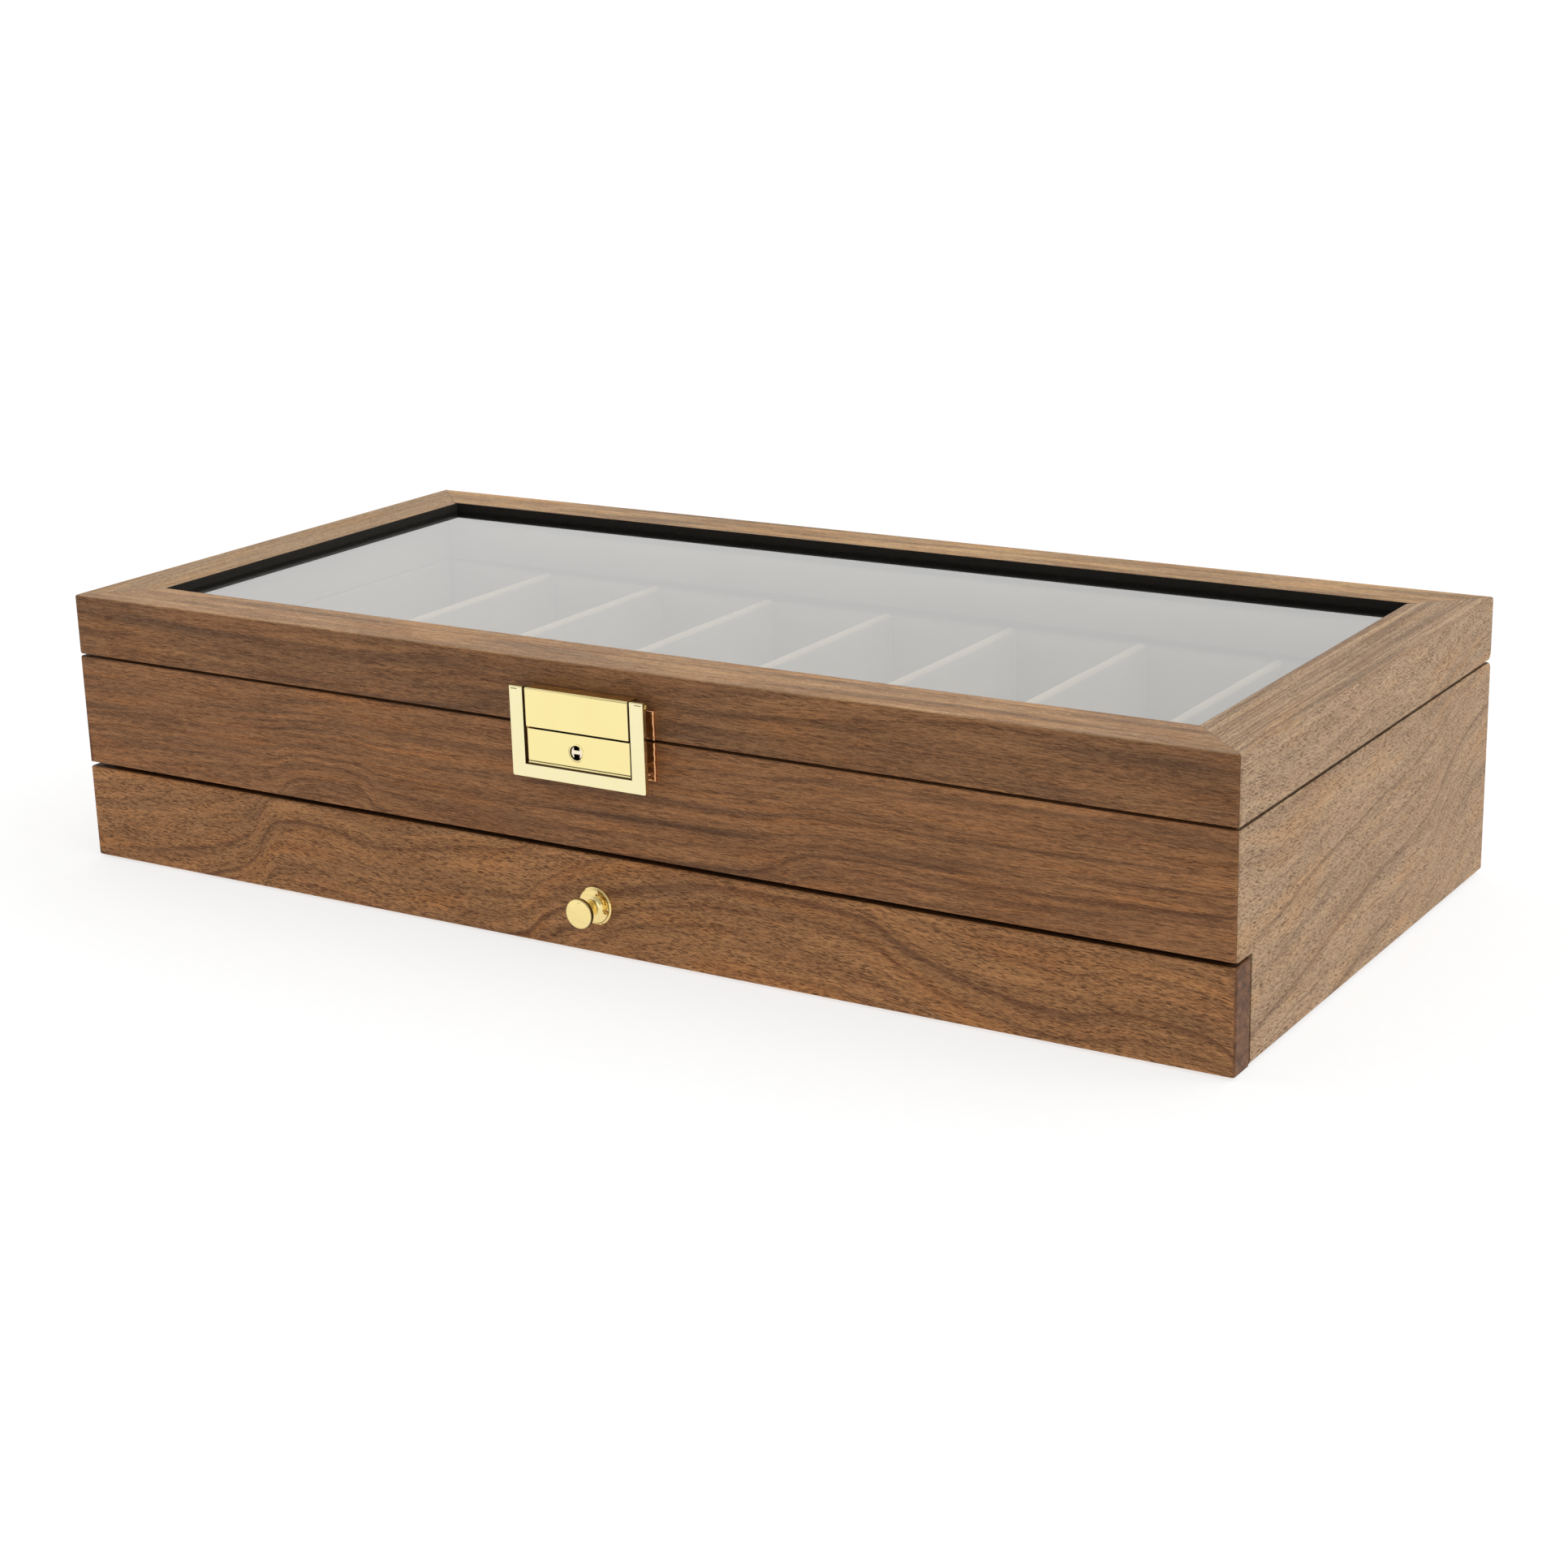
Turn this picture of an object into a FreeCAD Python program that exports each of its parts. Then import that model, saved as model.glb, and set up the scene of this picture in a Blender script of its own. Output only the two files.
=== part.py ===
import FreeCAD, Part
import math
import os

# Glass-topped display case for folding knives: a hinged, framed lid over a tray of
# eight lined compartments, with a full-width drawer underneath.
# Frame: origin at the centre of the footprint on the resting plane, +X along the
# width (to the right seen from the front), +Y to the back (the hinge side), +Z up.
# All lengths in millimetres.

os.makedirs("parts", exist_ok=True)
V = FreeCAD.Vector

# ---------------------------------------------------------------- driving sizes
W = 400.0            # overall width
D = 190.4            # overall depth of the wooden body
H = 87.4             # overall height
WALL = 12.0          # thickness of the walnut panels
Z_FOOT = 1.0         # thickness of the felt under the case
Z_BODY = 67.5        # top edge of the case walls
Z_LID = 68.1         # bottom edge of the lid frame
Z_PANEL = 32.1       # bottom edge of the body's front panel
EASE = 1.0           # rounding of the upright outer corners
EDGE = 0.7           # easing of the other outer edges
BACK_EASE = 2.0      # rounding of the bottom back edge

RAIL = 20.4          # face width of the lid rails
GLASS_T = 2.0        # pane thickness
GLASS_TOP = 2.7      # pane's face below the top of the frame
LIP = 1.6            # wood left under the pane
GROOVE = 5.0         # depth of the pane's groove
GLASS_IN = 4.5       # how far the pane reaches into it

NOTCH = 10.0         # the side panels step back behind the drawer front
DF_T = 9.0           # drawer front thickness
DF_Z0, DF_Z1 = 0.6, 30.75
BASE_T = 4.0         # bottom board
TRAY_T = 4.0         # tray floor board
SLOTS = 8            # compartments
PITCH = 46.5         # compartment spacing
DIV_T = 4.0          # divider thickness
Z_DIV = 65.6         # top of the dividers and of the tray linings
LIN_X = 185.9        # inner face of the side linings
LIN_F = -81.2        # inner face of the front lining
LIN_B = 75.5         # inner face of the padded back lining
PAD_T = 4.0          # compartment floor pads

HINGE_Y = 92.7       # lid hinge axis
HINGE_Z = 67.8
HINGE_R = 2.2        # knuckle radius
HINGE_PIN_R = 0.9
HINGE_BORE = 0.95    # running bore in the lid's knuckle
HINGE_X = 120.0
HINGE_W = 30.0
LEAF_T = 0.8
LEAF_Y = 84.2        # front edge of the leaves
A_LID = 56.0         # back chamfer of the lid, degrees above the seam
A_BODY = 46.0        # back chamfer of the case, degrees below the seam

FACE = -D / 2        # front plane of the case
PLATE_T = 1.0        # backing plates of the clasp
PLATE_X = 23.5
LOCK_X = 17.95       # half width of the lock and its cover
LOCK_Y = -100.35     # front of the lock
COVER_Y = -100.8     # front of the cover
SKIN = 0.7           # pressed brass thickness
FLAP_Y = -100.8      # front of the swinging flap
FLAP_X = 23.2        # its half width
FLAP_IN = 18.6       # inner edge of its arms
FLAP_T = 1.5
BAR_T = 0.35         # its cross bar, which passes in front of the lock
FLAP_Z0, FLAP_Z1 = 53.4, 57.3
PIN_Y, PIN_Z = -99.6, 78.9      # flap pivot
PIN_R = 0.6
PIN_BORE = 0.65
KNUCKLE_R = 1.2
KEY_X, KEY_Z = -0.7, 62.6        # keyhole centre
KEY_R = 2.2
KNOB_Z = 15.3

DR_X = 187.2         # outer faces of the drawer sides
DR_T = 6.0
DR_Z0, DR_Z1 = 5.5, 27.5
DR_BACK = 58.0
DR_BACK_Z1 = 30.4

X, Y = W / 2, D / 2
XI, YI = X - WALL, Y - WALL
OX, OY = X - RAIL, Y - RAIL          # half sizes of the lid opening
Z_GT = H - GLASS_TOP                 # pane top
Z_GB = Z_GT - GLASS_T                # pane underside
Z_HOLLOW = Z_GB - LIP                # underside of the frame's top


# -------------------------------------------------------------------- helpers
def box(x0, y0, z0, x1, y1, z1):
    return Part.makeBox(x1 - x0, y1 - y0, z1 - z0, V(x0, y0, z0))


def prism_z(pts, z0, z1):
    wire = Part.makePolygon([V(x, y, z0) for x, y in pts] + [V(pts[0][0], pts[0][1], z0)])
    return Part.Face(wire).extrude(V(0, 0, z1 - z0))


def prism_x(pts, x0, x1):
    wire = Part.makePolygon([V(x0, y, z) for y, z in pts] + [V(x0, pts[0][0], pts[0][1])])
    return Part.Face(wire).extrude(V(x1 - x0, 0, 0))


def cyl(p, r, h, d):
    return Part.makeCylinder(r, h, V(*p), V(*d))


def cone(p, r1, r2, h, d):
    return Part.makeCone(r1, r2, h, V(*p), V(*d))


def edges_where(shape, test):
    out = []
    for e in shape.Edges:
        b = e.BoundBox
        if test(b):
            out.append(e)
    return out


def near(a, b, tol=1e-3):
    return abs(a - b) < tol


def rounded(shape, r, test):
    return shape.makeFillet(r, edges_where(shape, test))


def bevelled(shape, c, test):
    return shape.makeChamfer(c, edges_where(shape, test))


def one(shape):
    """The single solid in a shape."""
    solids = shape.Solids
    assert len(solids) == 1, len(solids)
    return solids[0]


def save(name, shape):
    solids = shape.Solids
    assert solids, name
    for s in solids:
        assert s.isValid(), name
    out = solids[0] if len(solids) == 1 else Part.Compound(solids)
    out.exportStep("parts/%s.step" % name)
    b = out.BoundBox
    print("%-22s %2d  x %8.2f %8.2f  y %8.2f %8.2f  z %7.2f %7.2f  v %10.1f" % (
        name, len(solids), b.XMin, b.XMax, b.YMin, b.YMax, b.ZMin, b.ZMax, out.Volume))


def upright(b):
    return b.ZLength > 5 and b.XLength < 1e-3 and b.YLength < 1e-3


# ---------------------------------------------------- shared outer blocks
# The case block is eased first and then cut into panels, so that the mitred
# pieces share one rounded outline.
case_block = box(-X, -Y, Z_FOOT, X, Y, Z_BODY)
case_block = rounded(case_block, EASE, upright)
case_block = rounded(case_block, EDGE, lambda b: near(b.ZMin, Z_BODY) and near(b.ZMax, Z_BODY))
case_block = rounded(case_block, BACK_EASE * 0.5, lambda b: near(b.ZMin, Z_FOOT) and near(b.ZMax, Z_FOOT))

lid_block = box(-X, -Y, Z_LID, X, Y, H)
lid_block = rounded(lid_block, EASE, upright)
lid_block = rounded(lid_block, EDGE, lambda b: near(b.ZMin, H) and near(b.ZMax, H))
lid_block = rounded(lid_block, EDGE, lambda b: near(b.ZMin, Z_LID) and near(b.ZMax, Z_LID))

# Back chamfers: two planes through the hinge axis, which meet when the lid is
# fully open and stop it there.
ta, tb = math.tan(math.radians(A_LID)), math.tan(math.radians(A_BODY))
u = Y + 1.0 - HINGE_Y
lid_chamfer = prism_x([(HINGE_Y, HINGE_Z), (HINGE_Y + u, HINGE_Z), (HINGE_Y + u, HINGE_Z + u * ta)], -X - 1, X + 1)
case_chamfer = prism_x([(HINGE_Y, HINGE_Z), (HINGE_Y + u, HINGE_Z), (HINGE_Y + u, HINGE_Z - u * tb)], -X - 1, X + 1)
case_block = one(case_block.cut(case_chamfer))
lid_block = one(lid_block.cut(lid_chamfer))


def wedge(side, xi, yi, z0, z1):
    """Footprint of one mitred member between the outer corners and (xi, yi)."""
    k = 1.0
    xo, yo = X + k, Y + k
    xm, ym = xi - 0.0, yi - 0.0
    # the mitre lines run at 45 degrees through the outer corners
    pts = {
        "front": [(-xo, -yo), (xo, -yo), (xm, -ym), (-xm, -ym)],
        "back": [(-xm, ym), (xm, ym), (xo, yo), (-xo, yo)],
        "left": [(-xo, -yo), (-xm, -ym), (-xm, ym), (-xo, yo)],
        "right": [(xm, -ym), (xo, -yo), (xo, yo), (xm, ym)],
    }[side]
    return prism_z(pts, z0, z1)


# --------------------------------------------------------------- hinge tools
def hinge_pocket(xc, lid):
    """Wood taken out for one leaf and for the knuckles."""
    cut = cyl((xc - HINGE_W / 2 - 0.3, HINGE_Y, HINGE_Z), HINGE_R + 0.25, HINGE_W + 0.6, (1, 0, 0))
    if lid:
        leaf = box(xc - HINGE_W / 2, LEAF_Y, Z_LID, xc + HINGE_W / 2, HINGE_Y, Z_LID + LEAF_T)
    else:
        leaf = box(xc - HINGE_W / 2, LEAF_Y, Z_BODY - LEAF_T, xc + HINGE_W / 2, HINGE_Y, Z_BODY)
    return cut.fuse(leaf)


SCREW_Y = 88.0


def hinge_screw(x, lid):
    """Countersunk wood screw, r 0.8 shank, r 1.6 head, slotted."""
    if lid:
        z, s = Z_LID, 1.0
    else:
        z, s = Z_BODY, -1.0
    head = cone((x, SCREW_Y, z), 1.6, 0.8, LEAF_T, (0, 0, s))
    shank = cyl((x, SCREW_Y, z + s * LEAF_T), 0.8, 5.2, (0, 0, s))
    tip = cone((x, SCREW_Y, z + s * (LEAF_T + 5.2)), 0.8, 0.15, 1.2, (0, 0, s))
    body = head.fuse(shank).fuse(tip)
    if lid:
        slot = box(x - 1.7, SCREW_Y - 0.2, z - 0.01, x + 1.7, SCREW_Y + 0.2, z + 0.35)
    else:
        slot = box(x - 1.7, SCREW_Y - 0.2, z - 0.35, x + 1.7, SCREW_Y + 0.2, z + 0.01)
    return body, one(body.removeSplitter().cut(slot))


hinge_screws_case, hinge_screws_lid = [], []
screw_tools_case, screw_tools_lid = [], []
for xc in (-HINGE_X, HINGE_X):
    for dx in (-9.0, 9.0):
        tool, screw = hinge_screw(xc + dx, False)
        screw_tools_case.append(tool)
        hinge_screws_case.append(screw)
        tool, screw = hinge_screw(xc + dx, True)
        screw_tools_lid.append(tool)
        hinge_screws_lid.append(screw)


def plate_screw(x, z):
    """Small raised wood screw that holds a backing plate to the front, along +Y."""
    y0 = FACE - PLATE_T
    head = cone((x, y0, z), 1.5, 0.75, PLATE_T, (0, 1, 0))
    shank = cyl((x, FACE, z), 0.75, 6.0, (0, 1, 0))
    tip = cone((x, FACE + 6.0, z), 0.75, 0.15, 1.2, (0, 1, 0))
    body = head.fuse(shank).fuse(tip)
    slot = box(x - 1.6, y0 - 0.01, z - 0.2, x + 1.6, y0 + 0.35, z + 0.2)
    return body, one(body.removeSplitter().cut(slot))


lock_screws, lock_tools, hasp_screws, hasp_tools = [], [], [], []
for sx in (-14.0, 14.0):
    tool, screw = plate_screw(sx, 61.6)
    lock_tools.append(tool)
    lock_screws.append(screw)
    tool, screw = plate_screw(sx, 73.4)
    hasp_tools.append(tool)
    hasp_screws.append(screw)


def cut_all(shape, tools):
    for t in tools:
        shape = shape.cut(t)
    return shape


# ---------------------------------------------------------------- case panels
notch = box(-X - 1, -Y - 1, Z_FOOT - 1, X + 1, -Y + NOTCH, Z_PANEL)
side_l = one(case_block.common(wedge("left", XI, YI, Z_FOOT - 1, Z_BODY + 1)).cut(notch))
side_r = one(case_block.common(wedge("right", XI, YI, Z_FOOT - 1, Z_BODY + 1)).cut(notch))
front = one(case_block.common(wedge("front", XI, YI, Z_PANEL, Z_BODY + 1)))
front = rounded(front, 0.5, lambda b: near(b.ZMin, Z_PANEL) and near(b.ZMax, Z_PANEL)
                and near(b.YMin, -Y, 0.02) and b.XLength > 300)
front = one(cut_all(front, lock_tools))
back = case_block.common(wedge("back", XI, YI, Z_FOOT - 1, Z_BODY + 1))
for xc in (-HINGE_X, HINGE_X):
    back = back.cut(hinge_pocket(xc, False))
back = one(cut_all(back, screw_tools_case))
save("side_panel_left", side_l)
save("side_panel_right", side_r)
save("front_panel", front)
save("back_panel", back)

y_notch = -Y + NOTCH
save("base_panel", box(-XI, y_notch, Z_FOOT, XI, YI, Z_FOOT + BASE_T))
save("base_felt", rounded(box(-X + 1.6, y_notch + 0.6, 0.0, X - 1.6, Y - 2.7, Z_FOOT), 2.0,
                          lambda b: near(b.ZLength, Z_FOOT)))
save("tray_floor", box(-XI, -YI, Z_PANEL, XI, YI, Z_PANEL + TRAY_T))
# Cleat under the front of the tray floor: the taller drawer back meets it when
# the drawer is fully out.
save("drawer_stop", box(-150.0, -YI + 1.2, Z_PANEL - 3.1, 150.0, -YI + 7.2, Z_PANEL))

# ---------------------------------------------------------------- tray lining
z_tray = Z_PANEL + TRAY_T
save("lining_left", box(-XI, -YI, z_tray, -LIN_X, YI, Z_DIV))
save("lining_right", box(LIN_X, -YI, z_tray, XI, YI, Z_DIV))
save("lining_front", box(-LIN_X, -YI, z_tray, LIN_X, LIN_F, Z_DIV))
save("lining_back", box(-LIN_X, LIN_B, z_tray, LIN_X, YI, Z_DIV))
div_x = [(i - (SLOTS / 2 - 1)) * PITCH for i in range(SLOTS - 1)]
for i, xc in enumerate(div_x):
    d = box(xc - DIV_T / 2, LIN_F, z_tray, xc + DIV_T / 2, LIN_B, Z_DIV)
    d = rounded(d, DIV_T / 2 - 0.1, lambda b: near(b.ZMin, Z_DIV) and b.YLength > 100)
    save("divider_%d" % (i + 1), one(d))
walls = [-LIN_X] + div_x + [LIN_X]
pads = []
for i in range(SLOTS):
    x0 = walls[i] + (0.15 if i == 0 else DIV_T / 2 + 0.15)
    x1 = walls[i + 1] - (0.15 if i == SLOTS - 1 else DIV_T / 2 + 0.15)
    p = box(x0, LIN_F + 0.2, z_tray, x1, LIN_B - 0.2, z_tray + PAD_T)
    p = rounded(p, 1.2, lambda b: near(b.ZMin, z_tray + PAD_T))
    pads.append(one(p))
save("floor_pads", Part.Compound(pads))

# ------------------------------------------------------------------ lid frame
OY_BACK = OY + 1.4      # the back rail is a little narrower
frame = lid_block.cut(box(-XI, -YI, Z_LID - 1, XI, YI, Z_HOLLOW))
frame = frame.cut(box(-OX, -OY, Z_HOLLOW - 1, OX, OY_BACK, H + 1))
frame = rounded(one(frame), 0.3, lambda b: near(b.ZMin, H) and near(b.ZMax, H)
                and b.XMin > -OX - 0.01 and b.XMax < OX + 0.01
                and b.YMin > -OY - 0.01 and b.YMax < OY_BACK + 0.01)
frame = frame.cut(box(-OX - GROOVE, -OY - GROOVE, Z_GB, OX + GROOVE, OY_BACK + GROOVE, Z_GT))
for xc in (-HINGE_X, HINGE_X):
    frame = frame.cut(hinge_pocket(xc, True))
frame = cut_all(frame, screw_tools_lid + hasp_tools)
frame = one(frame)
# each rail keeps a piece of the frame between the 45-degree mitre lines
for side in ("front", "back", "left", "right"):
    m = min(OX, OY) - 10.0
    off = RAIL + 10.0
    w = wedge(side, X - off, Y - off, Z_LID - 1, H + 1)
    save("lid_rail_" + side, one(frame.common(w)))

pane = box(-OX - GLASS_IN, -OY - GLASS_IN, Z_GB, OX + GLASS_IN, OY_BACK + GLASS_IN, Z_GT)
save("glass_pane", pane)

z_lip = Z_DIV + 0.3
save("lid_lining_left", box(-XI + 0.2, -YI + 0.3, z_lip, -LIN_X, YI - 0.2, Z_HOLLOW))
save("lid_lining_right", box(LIN_X, -YI + 0.3, z_lip, XI - 0.2, YI - 0.2, Z_HOLLOW))
save("lid_lining_front", box(-LIN_X, -YI + 0.3, z_lip, LIN_X, LIN_F, Z_HOLLOW))
save("lid_lining_back", box(-LIN_X, LIN_B, z_lip, LIN_X, YI - 0.2, Z_HOLLOW))

# --------------------------------------------------------------------- hinges
K_OUT = 5.1          # inner ends of the case knuckles
K_IN = 4.9           # ends of the lid knuckle


def axis_cyl(x0, x1, r):
    return cyl((x0, HINGE_Y, HINGE_Z), r, x1 - x0, (1, 0, 0))


for name, xc in (("left", -HINGE_X), ("right", HINGE_X)):
    h = HINGE_W / 2
    leaf = box(xc - h, LEAF_Y, Z_BODY - LEAF_T, xc + h, HINGE_Y, Z_BODY)
    leaf = leaf.fuse(axis_cyl(xc - h, xc - K_OUT, HINGE_R)).fuse(axis_cyl(xc + K_OUT, xc + h, HINGE_R))
    leaf = leaf.cut(axis_cyl(xc - K_OUT, xc + K_OUT, HINGE_R + 0.2))
    leaf = leaf.cut(axis_cyl(xc - h - 1, xc + h + 1, HINGE_PIN_R))
    leaf = cut_all(leaf, screw_tools_case)
    save("hinge_leaf_case_" + name, one(leaf))
    leaf = box(xc - h, LEAF_Y, Z_LID, xc + h, HINGE_Y, Z_LID + LEAF_T)
    leaf = leaf.cut(axis_cyl(xc - h - 1, xc - K_IN, HINGE_R + 0.2))
    leaf = leaf.cut(axis_cyl(xc + K_IN, xc + h + 1, HINGE_R + 0.2))
    leaf = leaf.fuse(axis_cyl(xc - K_IN, xc + K_IN, HINGE_R))
    leaf = leaf.cut(axis_cyl(xc - h - 1, xc + h + 1, HINGE_BORE))
    leaf = cut_all(leaf, screw_tools_lid)
    save("hinge_leaf_lid_" + name, one(leaf))
pins = []
for xc in (-HINGE_X, HINGE_X):
    p = axis_cyl(xc - HINGE_W / 2, xc + HINGE_W / 2, HINGE_PIN_R)
    pins.append(one(p.makeChamfer(0.2, p.Edges[0:1] + p.Edges[2:3])))
save("hinge_pins", Part.Compound(pins))
save("hinge_screws_case", Part.Compound(hinge_screws_case))
save("hinge_screws_lid", Part.Compound(hinge_screws_lid))

# ------------------------------------------------------- lock on the case side
yp = FACE - PLATE_T
plate = box(-PLATE_X, yp, 56.2, PLATE_X, FACE, 67.7)
plate = rounded(plate, 0.4, lambda b: near(b.YMin, yp) and near(b.YMax, yp))
save("lock_plate", one(cut_all(plate, lock_tools)))
save("lock_plate_screws", Part.Compound(lock_screws))

lz0, lz1 = 57.35, 67.9
lock = box(-LOCK_X, LOCK_Y, lz0, LOCK_X, yp, lz1)
lock = rounded(lock, 0.35, lambda b: near(b.YMin, LOCK_Y) and near(b.YMax, LOCK_Y) and b.ZLength > 5)
bev = prism_x([(LOCK_Y - 1, lz0 - 1), (LOCK_Y - 1, lz0 + 0.9), (LOCK_Y, lz0 + 0.9), (LOCK_Y + 0.14, lz0), (LOCK_Y + 0.14, lz0 - 1)],
              -LOCK_X - 1, LOCK_X + 1)
lock = lock.cut(bev)
lock = lock.cut(box(-LOCK_X + SKIN, LOCK_Y + SKIN, lz0 + SKIN, LOCK_X - SKIN, yp, lz1 - SKIN))
collar = cyl((KEY_X, LOCK_Y - 0.08, KEY_Z), KEY_R + 0.45, 0.5, (0, 1, 0))
lock = lock.fuse(collar)
lock = lock.cut(cyl((KEY_X, LOCK_Y - 1, KEY_Z), KEY_R, 3.0, (0, 1, 0)))
SLOT_X = 8.2
slot = box(-SLOT_X, -98.4, lz1 - 2, SLOT_X, -96.45, lz1 + 2)
save("lock_cover", one(lock.cut(slot)))
# barrel in the keyhole: a disc with a wide notch above and below a narrow web
by = LOCK_Y + 0.28
barrel = cyl((KEY_X, by, KEY_Z), KEY_R - 0.2, 1.6, (0, 1, 0))
barrel = barrel.makeChamfer(0.12, edges_where(barrel, lambda b: near(b.YMin, by) and near(b.YMax, by)))
for s in (-1, 1):
    z0, z1 = sorted((KEY_Z + 0.15 + s * 0.55, KEY_Z + s * 3.0))
    barrel = barrel.cut(box(KEY_X - 1.0, by - 1, z0, KEY_X + 1.0, by + 1.2, z1))
barrel = barrel.fuse(cyl((KEY_X, by + 1.6, KEY_Z), 1.4, yp - by - 1.6, (0, 1, 0)))
save("key_barrel", one(barrel.removeSplitter()))

# The bolt stands astride the key barrel and slides up out of the lock, into the
# cover on the lid.
by0, by1 = -98.2, -96.6
bolt = box(-8.0, by0, 58.25, 8.0, by1, 66.9)
bolt = bolt.cut(box(-4.2, by0 - 1, 57.0, 4.2, by1 + 1, 65.7))
for s in (-1, 1):
    x0, x1 = sorted((s * 7.5, s * 10.0))
    bolt = bolt.fuse(box(x0, by0, 58.25, x1, by1, 63.4))
bolt = one(bolt.removeSplitter())
save("lock_bolt", bolt)

# ---------------------------------------------------------- clasp on the lid
plate = box(-PLATE_X, yp, 68.3, PLATE_X, FACE, 76.9)
plate = rounded(plate, 0.4, lambda b: near(b.YMin, yp) and near(b.YMax, yp))
save("clasp_plate", one(cut_all(plate, hasp_tools)))
save("clasp_plate_screws", Part.Compound(hasp_screws))

cz0, cz1 = 68.6, PIN_Z + KNUCKLE_R
cover = box(-LOCK_X, COVER_Y, cz0, LOCK_X, yp, cz1)
cover = rounded(cover, 0.35, lambda b: near(b.YMin, COVER_Y) and near(b.ZMin, cz1) and b.XLength > 5)
cover = rounded(cover, 0.35, lambda b: near(b.YMin, COVER_Y, 0.02) and b.ZLength > 5 and b.YLength < 1e-3)
cover = cover.cut(box(-LOCK_X + SKIN, COVER_Y + SKIN, cz0 + SKIN, LOCK_X - SKIN, yp, cz1 - SKIN))
cover = cover.cut(box(-SLOT_X, -98.4, cz0 - 2, SLOT_X, -96.45, cz0 + 2))
cover = cover.cut(cyl((-LOCK_X - 1, PIN_Y, PIN_Z), PIN_R, 2 * LOCK_X + 2, (1, 0, 0)))
save("clasp_cover", one(cover))
save("clasp_pin", cyl((-FLAP_X + 0.3, PIN_Y, PIN_Z), PIN_R, 2 * FLAP_X - 0.6, (1, 0, 0)))

# Swinging flap: two arms that hang from the pin and a thin cross bar that passes
# just in front of the lock.
flap = box(-FLAP_X, FLAP_Y, FLAP_Z0, FLAP_X, FLAP_Y + FLAP_T, PIN_Z)
flap = flap.cut(box(-FLAP_IN, FLAP_Y - 1, FLAP_Z1, FLAP_IN, FLAP_Y + FLAP_T + 1, PIN_Z + 1))
flap = flap.cut(box(-FLAP_IN, FLAP_Y + BAR_T, FLAP_Z0 - 1, FLAP_IN, FLAP_Y + FLAP_T + 1, FLAP_Z1 + 1))
flap = one(flap)
flap = rounded(flap, 0.5, lambda b: near(b.ZMin, FLAP_Z0) and near(b.ZMax, FLAP_Z0)
               and near(b.YLength, FLAP_T) and b.XLength < 1e-3)
for s in (-1, 1):
    x0, x1 = sorted((s * FLAP_IN, s * FLAP_X))
    eye = box(x0, PIN_Y - KNUCKLE_R, PIN_Z - KNUCKLE_R, x1, PIN_Y + KNUCKLE_R, PIN_Z + KNUCKLE_R)
    eye = rounded(eye, 1.0, lambda b: b.XLength > 2 and near(b.YMin, PIN_Y + KNUCKLE_R))
    eye = rounded(eye, 0.3, lambda b: b.XLength > 2 and near(b.YMin, PIN_Y - KNUCKLE_R) and b.ZMin > PIN_Z)
    flap = flap.fuse(eye)
flap = flap.removeSplitter()
flap = flap.cut(cyl((-FLAP_X - 1, PIN_Y, PIN_Z), PIN_BORE, 2 * FLAP_X + 2, (1, 0, 0)))
save("clasp_flap", one(flap))

# --------------------------------------------------------------------- drawer
DF_Y = FACE + DF_T
df = box(-X, FACE, DF_Z0, X, DF_Y, DF_Z1)
df = rounded(df, EASE, lambda b: upright(b) and near(b.YMin, FACE))
df = rounded(df, EDGE, lambda b: near(b.YMin, FACE, 1.2) and b.YMax < FACE + 1.2 and b.ZLength < 1e-3)
# groove for the drawer bottom
gz0, gz1 = DR_Z0 + 1.5, DR_Z0 + 4.5
df = df.cut(box(-DR_X + 3.0, DF_Y - 3.0, gz0, DR_X - 3.0, DF_Y + 1, gz1))
screw_hole = cyl((0, FACE - 5, KNOB_Z), 1.2, 20, (0, 1, 0))
save("drawer_front", one(df.cut(screw_hole)))
for name, s in (("left", -1), ("right", 1)):
    x0, x1 = sorted((s * DR_X, s * (DR_X - DR_T)))
    side = box(x0, DF_Y, DR_Z0, x1, DR_BACK, DR_Z1)
    g0, g1 = sorted((s * (DR_X - 3.0), s * (DR_X - DR_T - 1)))
    side = side.cut(box(g0, DF_Y - 1, gz0, g1, DR_BACK + 1, gz1))
    save("drawer_side_" + name, one(side))
xi = DR_X - DR_T
save("drawer_bottom", box(-DR_X + 3.0, DF_Y - 3.0, gz0, DR_X - 3.0, DR_BACK, gz1))
save("drawer_back", box(-xi, DR_BACK - DR_T, gz1, xi, DR_BACK, DR_BACK_Z1))
save("drawer_pad", box(-xi + 0.2, DF_Y + 0.2, gz1, xi - 0.2, DR_BACK - DR_T - 0.2, gz1 + 1.2))

# ----------------------------------------------------------------------- knob
ros = cyl((0, FACE - 0.9, KNOB_Z), 5.75, 0.9, (0, 1, 0))
ros = ros.makeChamfer(0.4, edges_where(ros, lambda b: near(b.YMin, FACE - 0.9) and near(b.YMax, FACE - 0.9)))
save("knob_rosette", one(ros.cut(screw_hole)))
# turned profile of the knob: (distance in front of the face, radius)
yk = FACE - 0.9
pts = [(yk, 0.0), (yk, 3.0), (yk - 0.75, 2.15), (yk - 2.6, 1.95), (yk - 5.4, 2.05), (yk - 6.15, 2.9),
       (yk - 6.25, 3.9), (yk - 6.44, 4.36), (yk - 6.9, 4.55), (yk - 7.45, 4.55), (yk - 7.75, 4.43),
       (yk - 7.88, 4.15), (yk - 8.10, 2.3), (yk - 8.18, 0.35), (yk - 8.18, 0.0)]


def at(i):
    return V(0, pts[i][0], KNOB_Z + pts[i][1])


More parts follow.
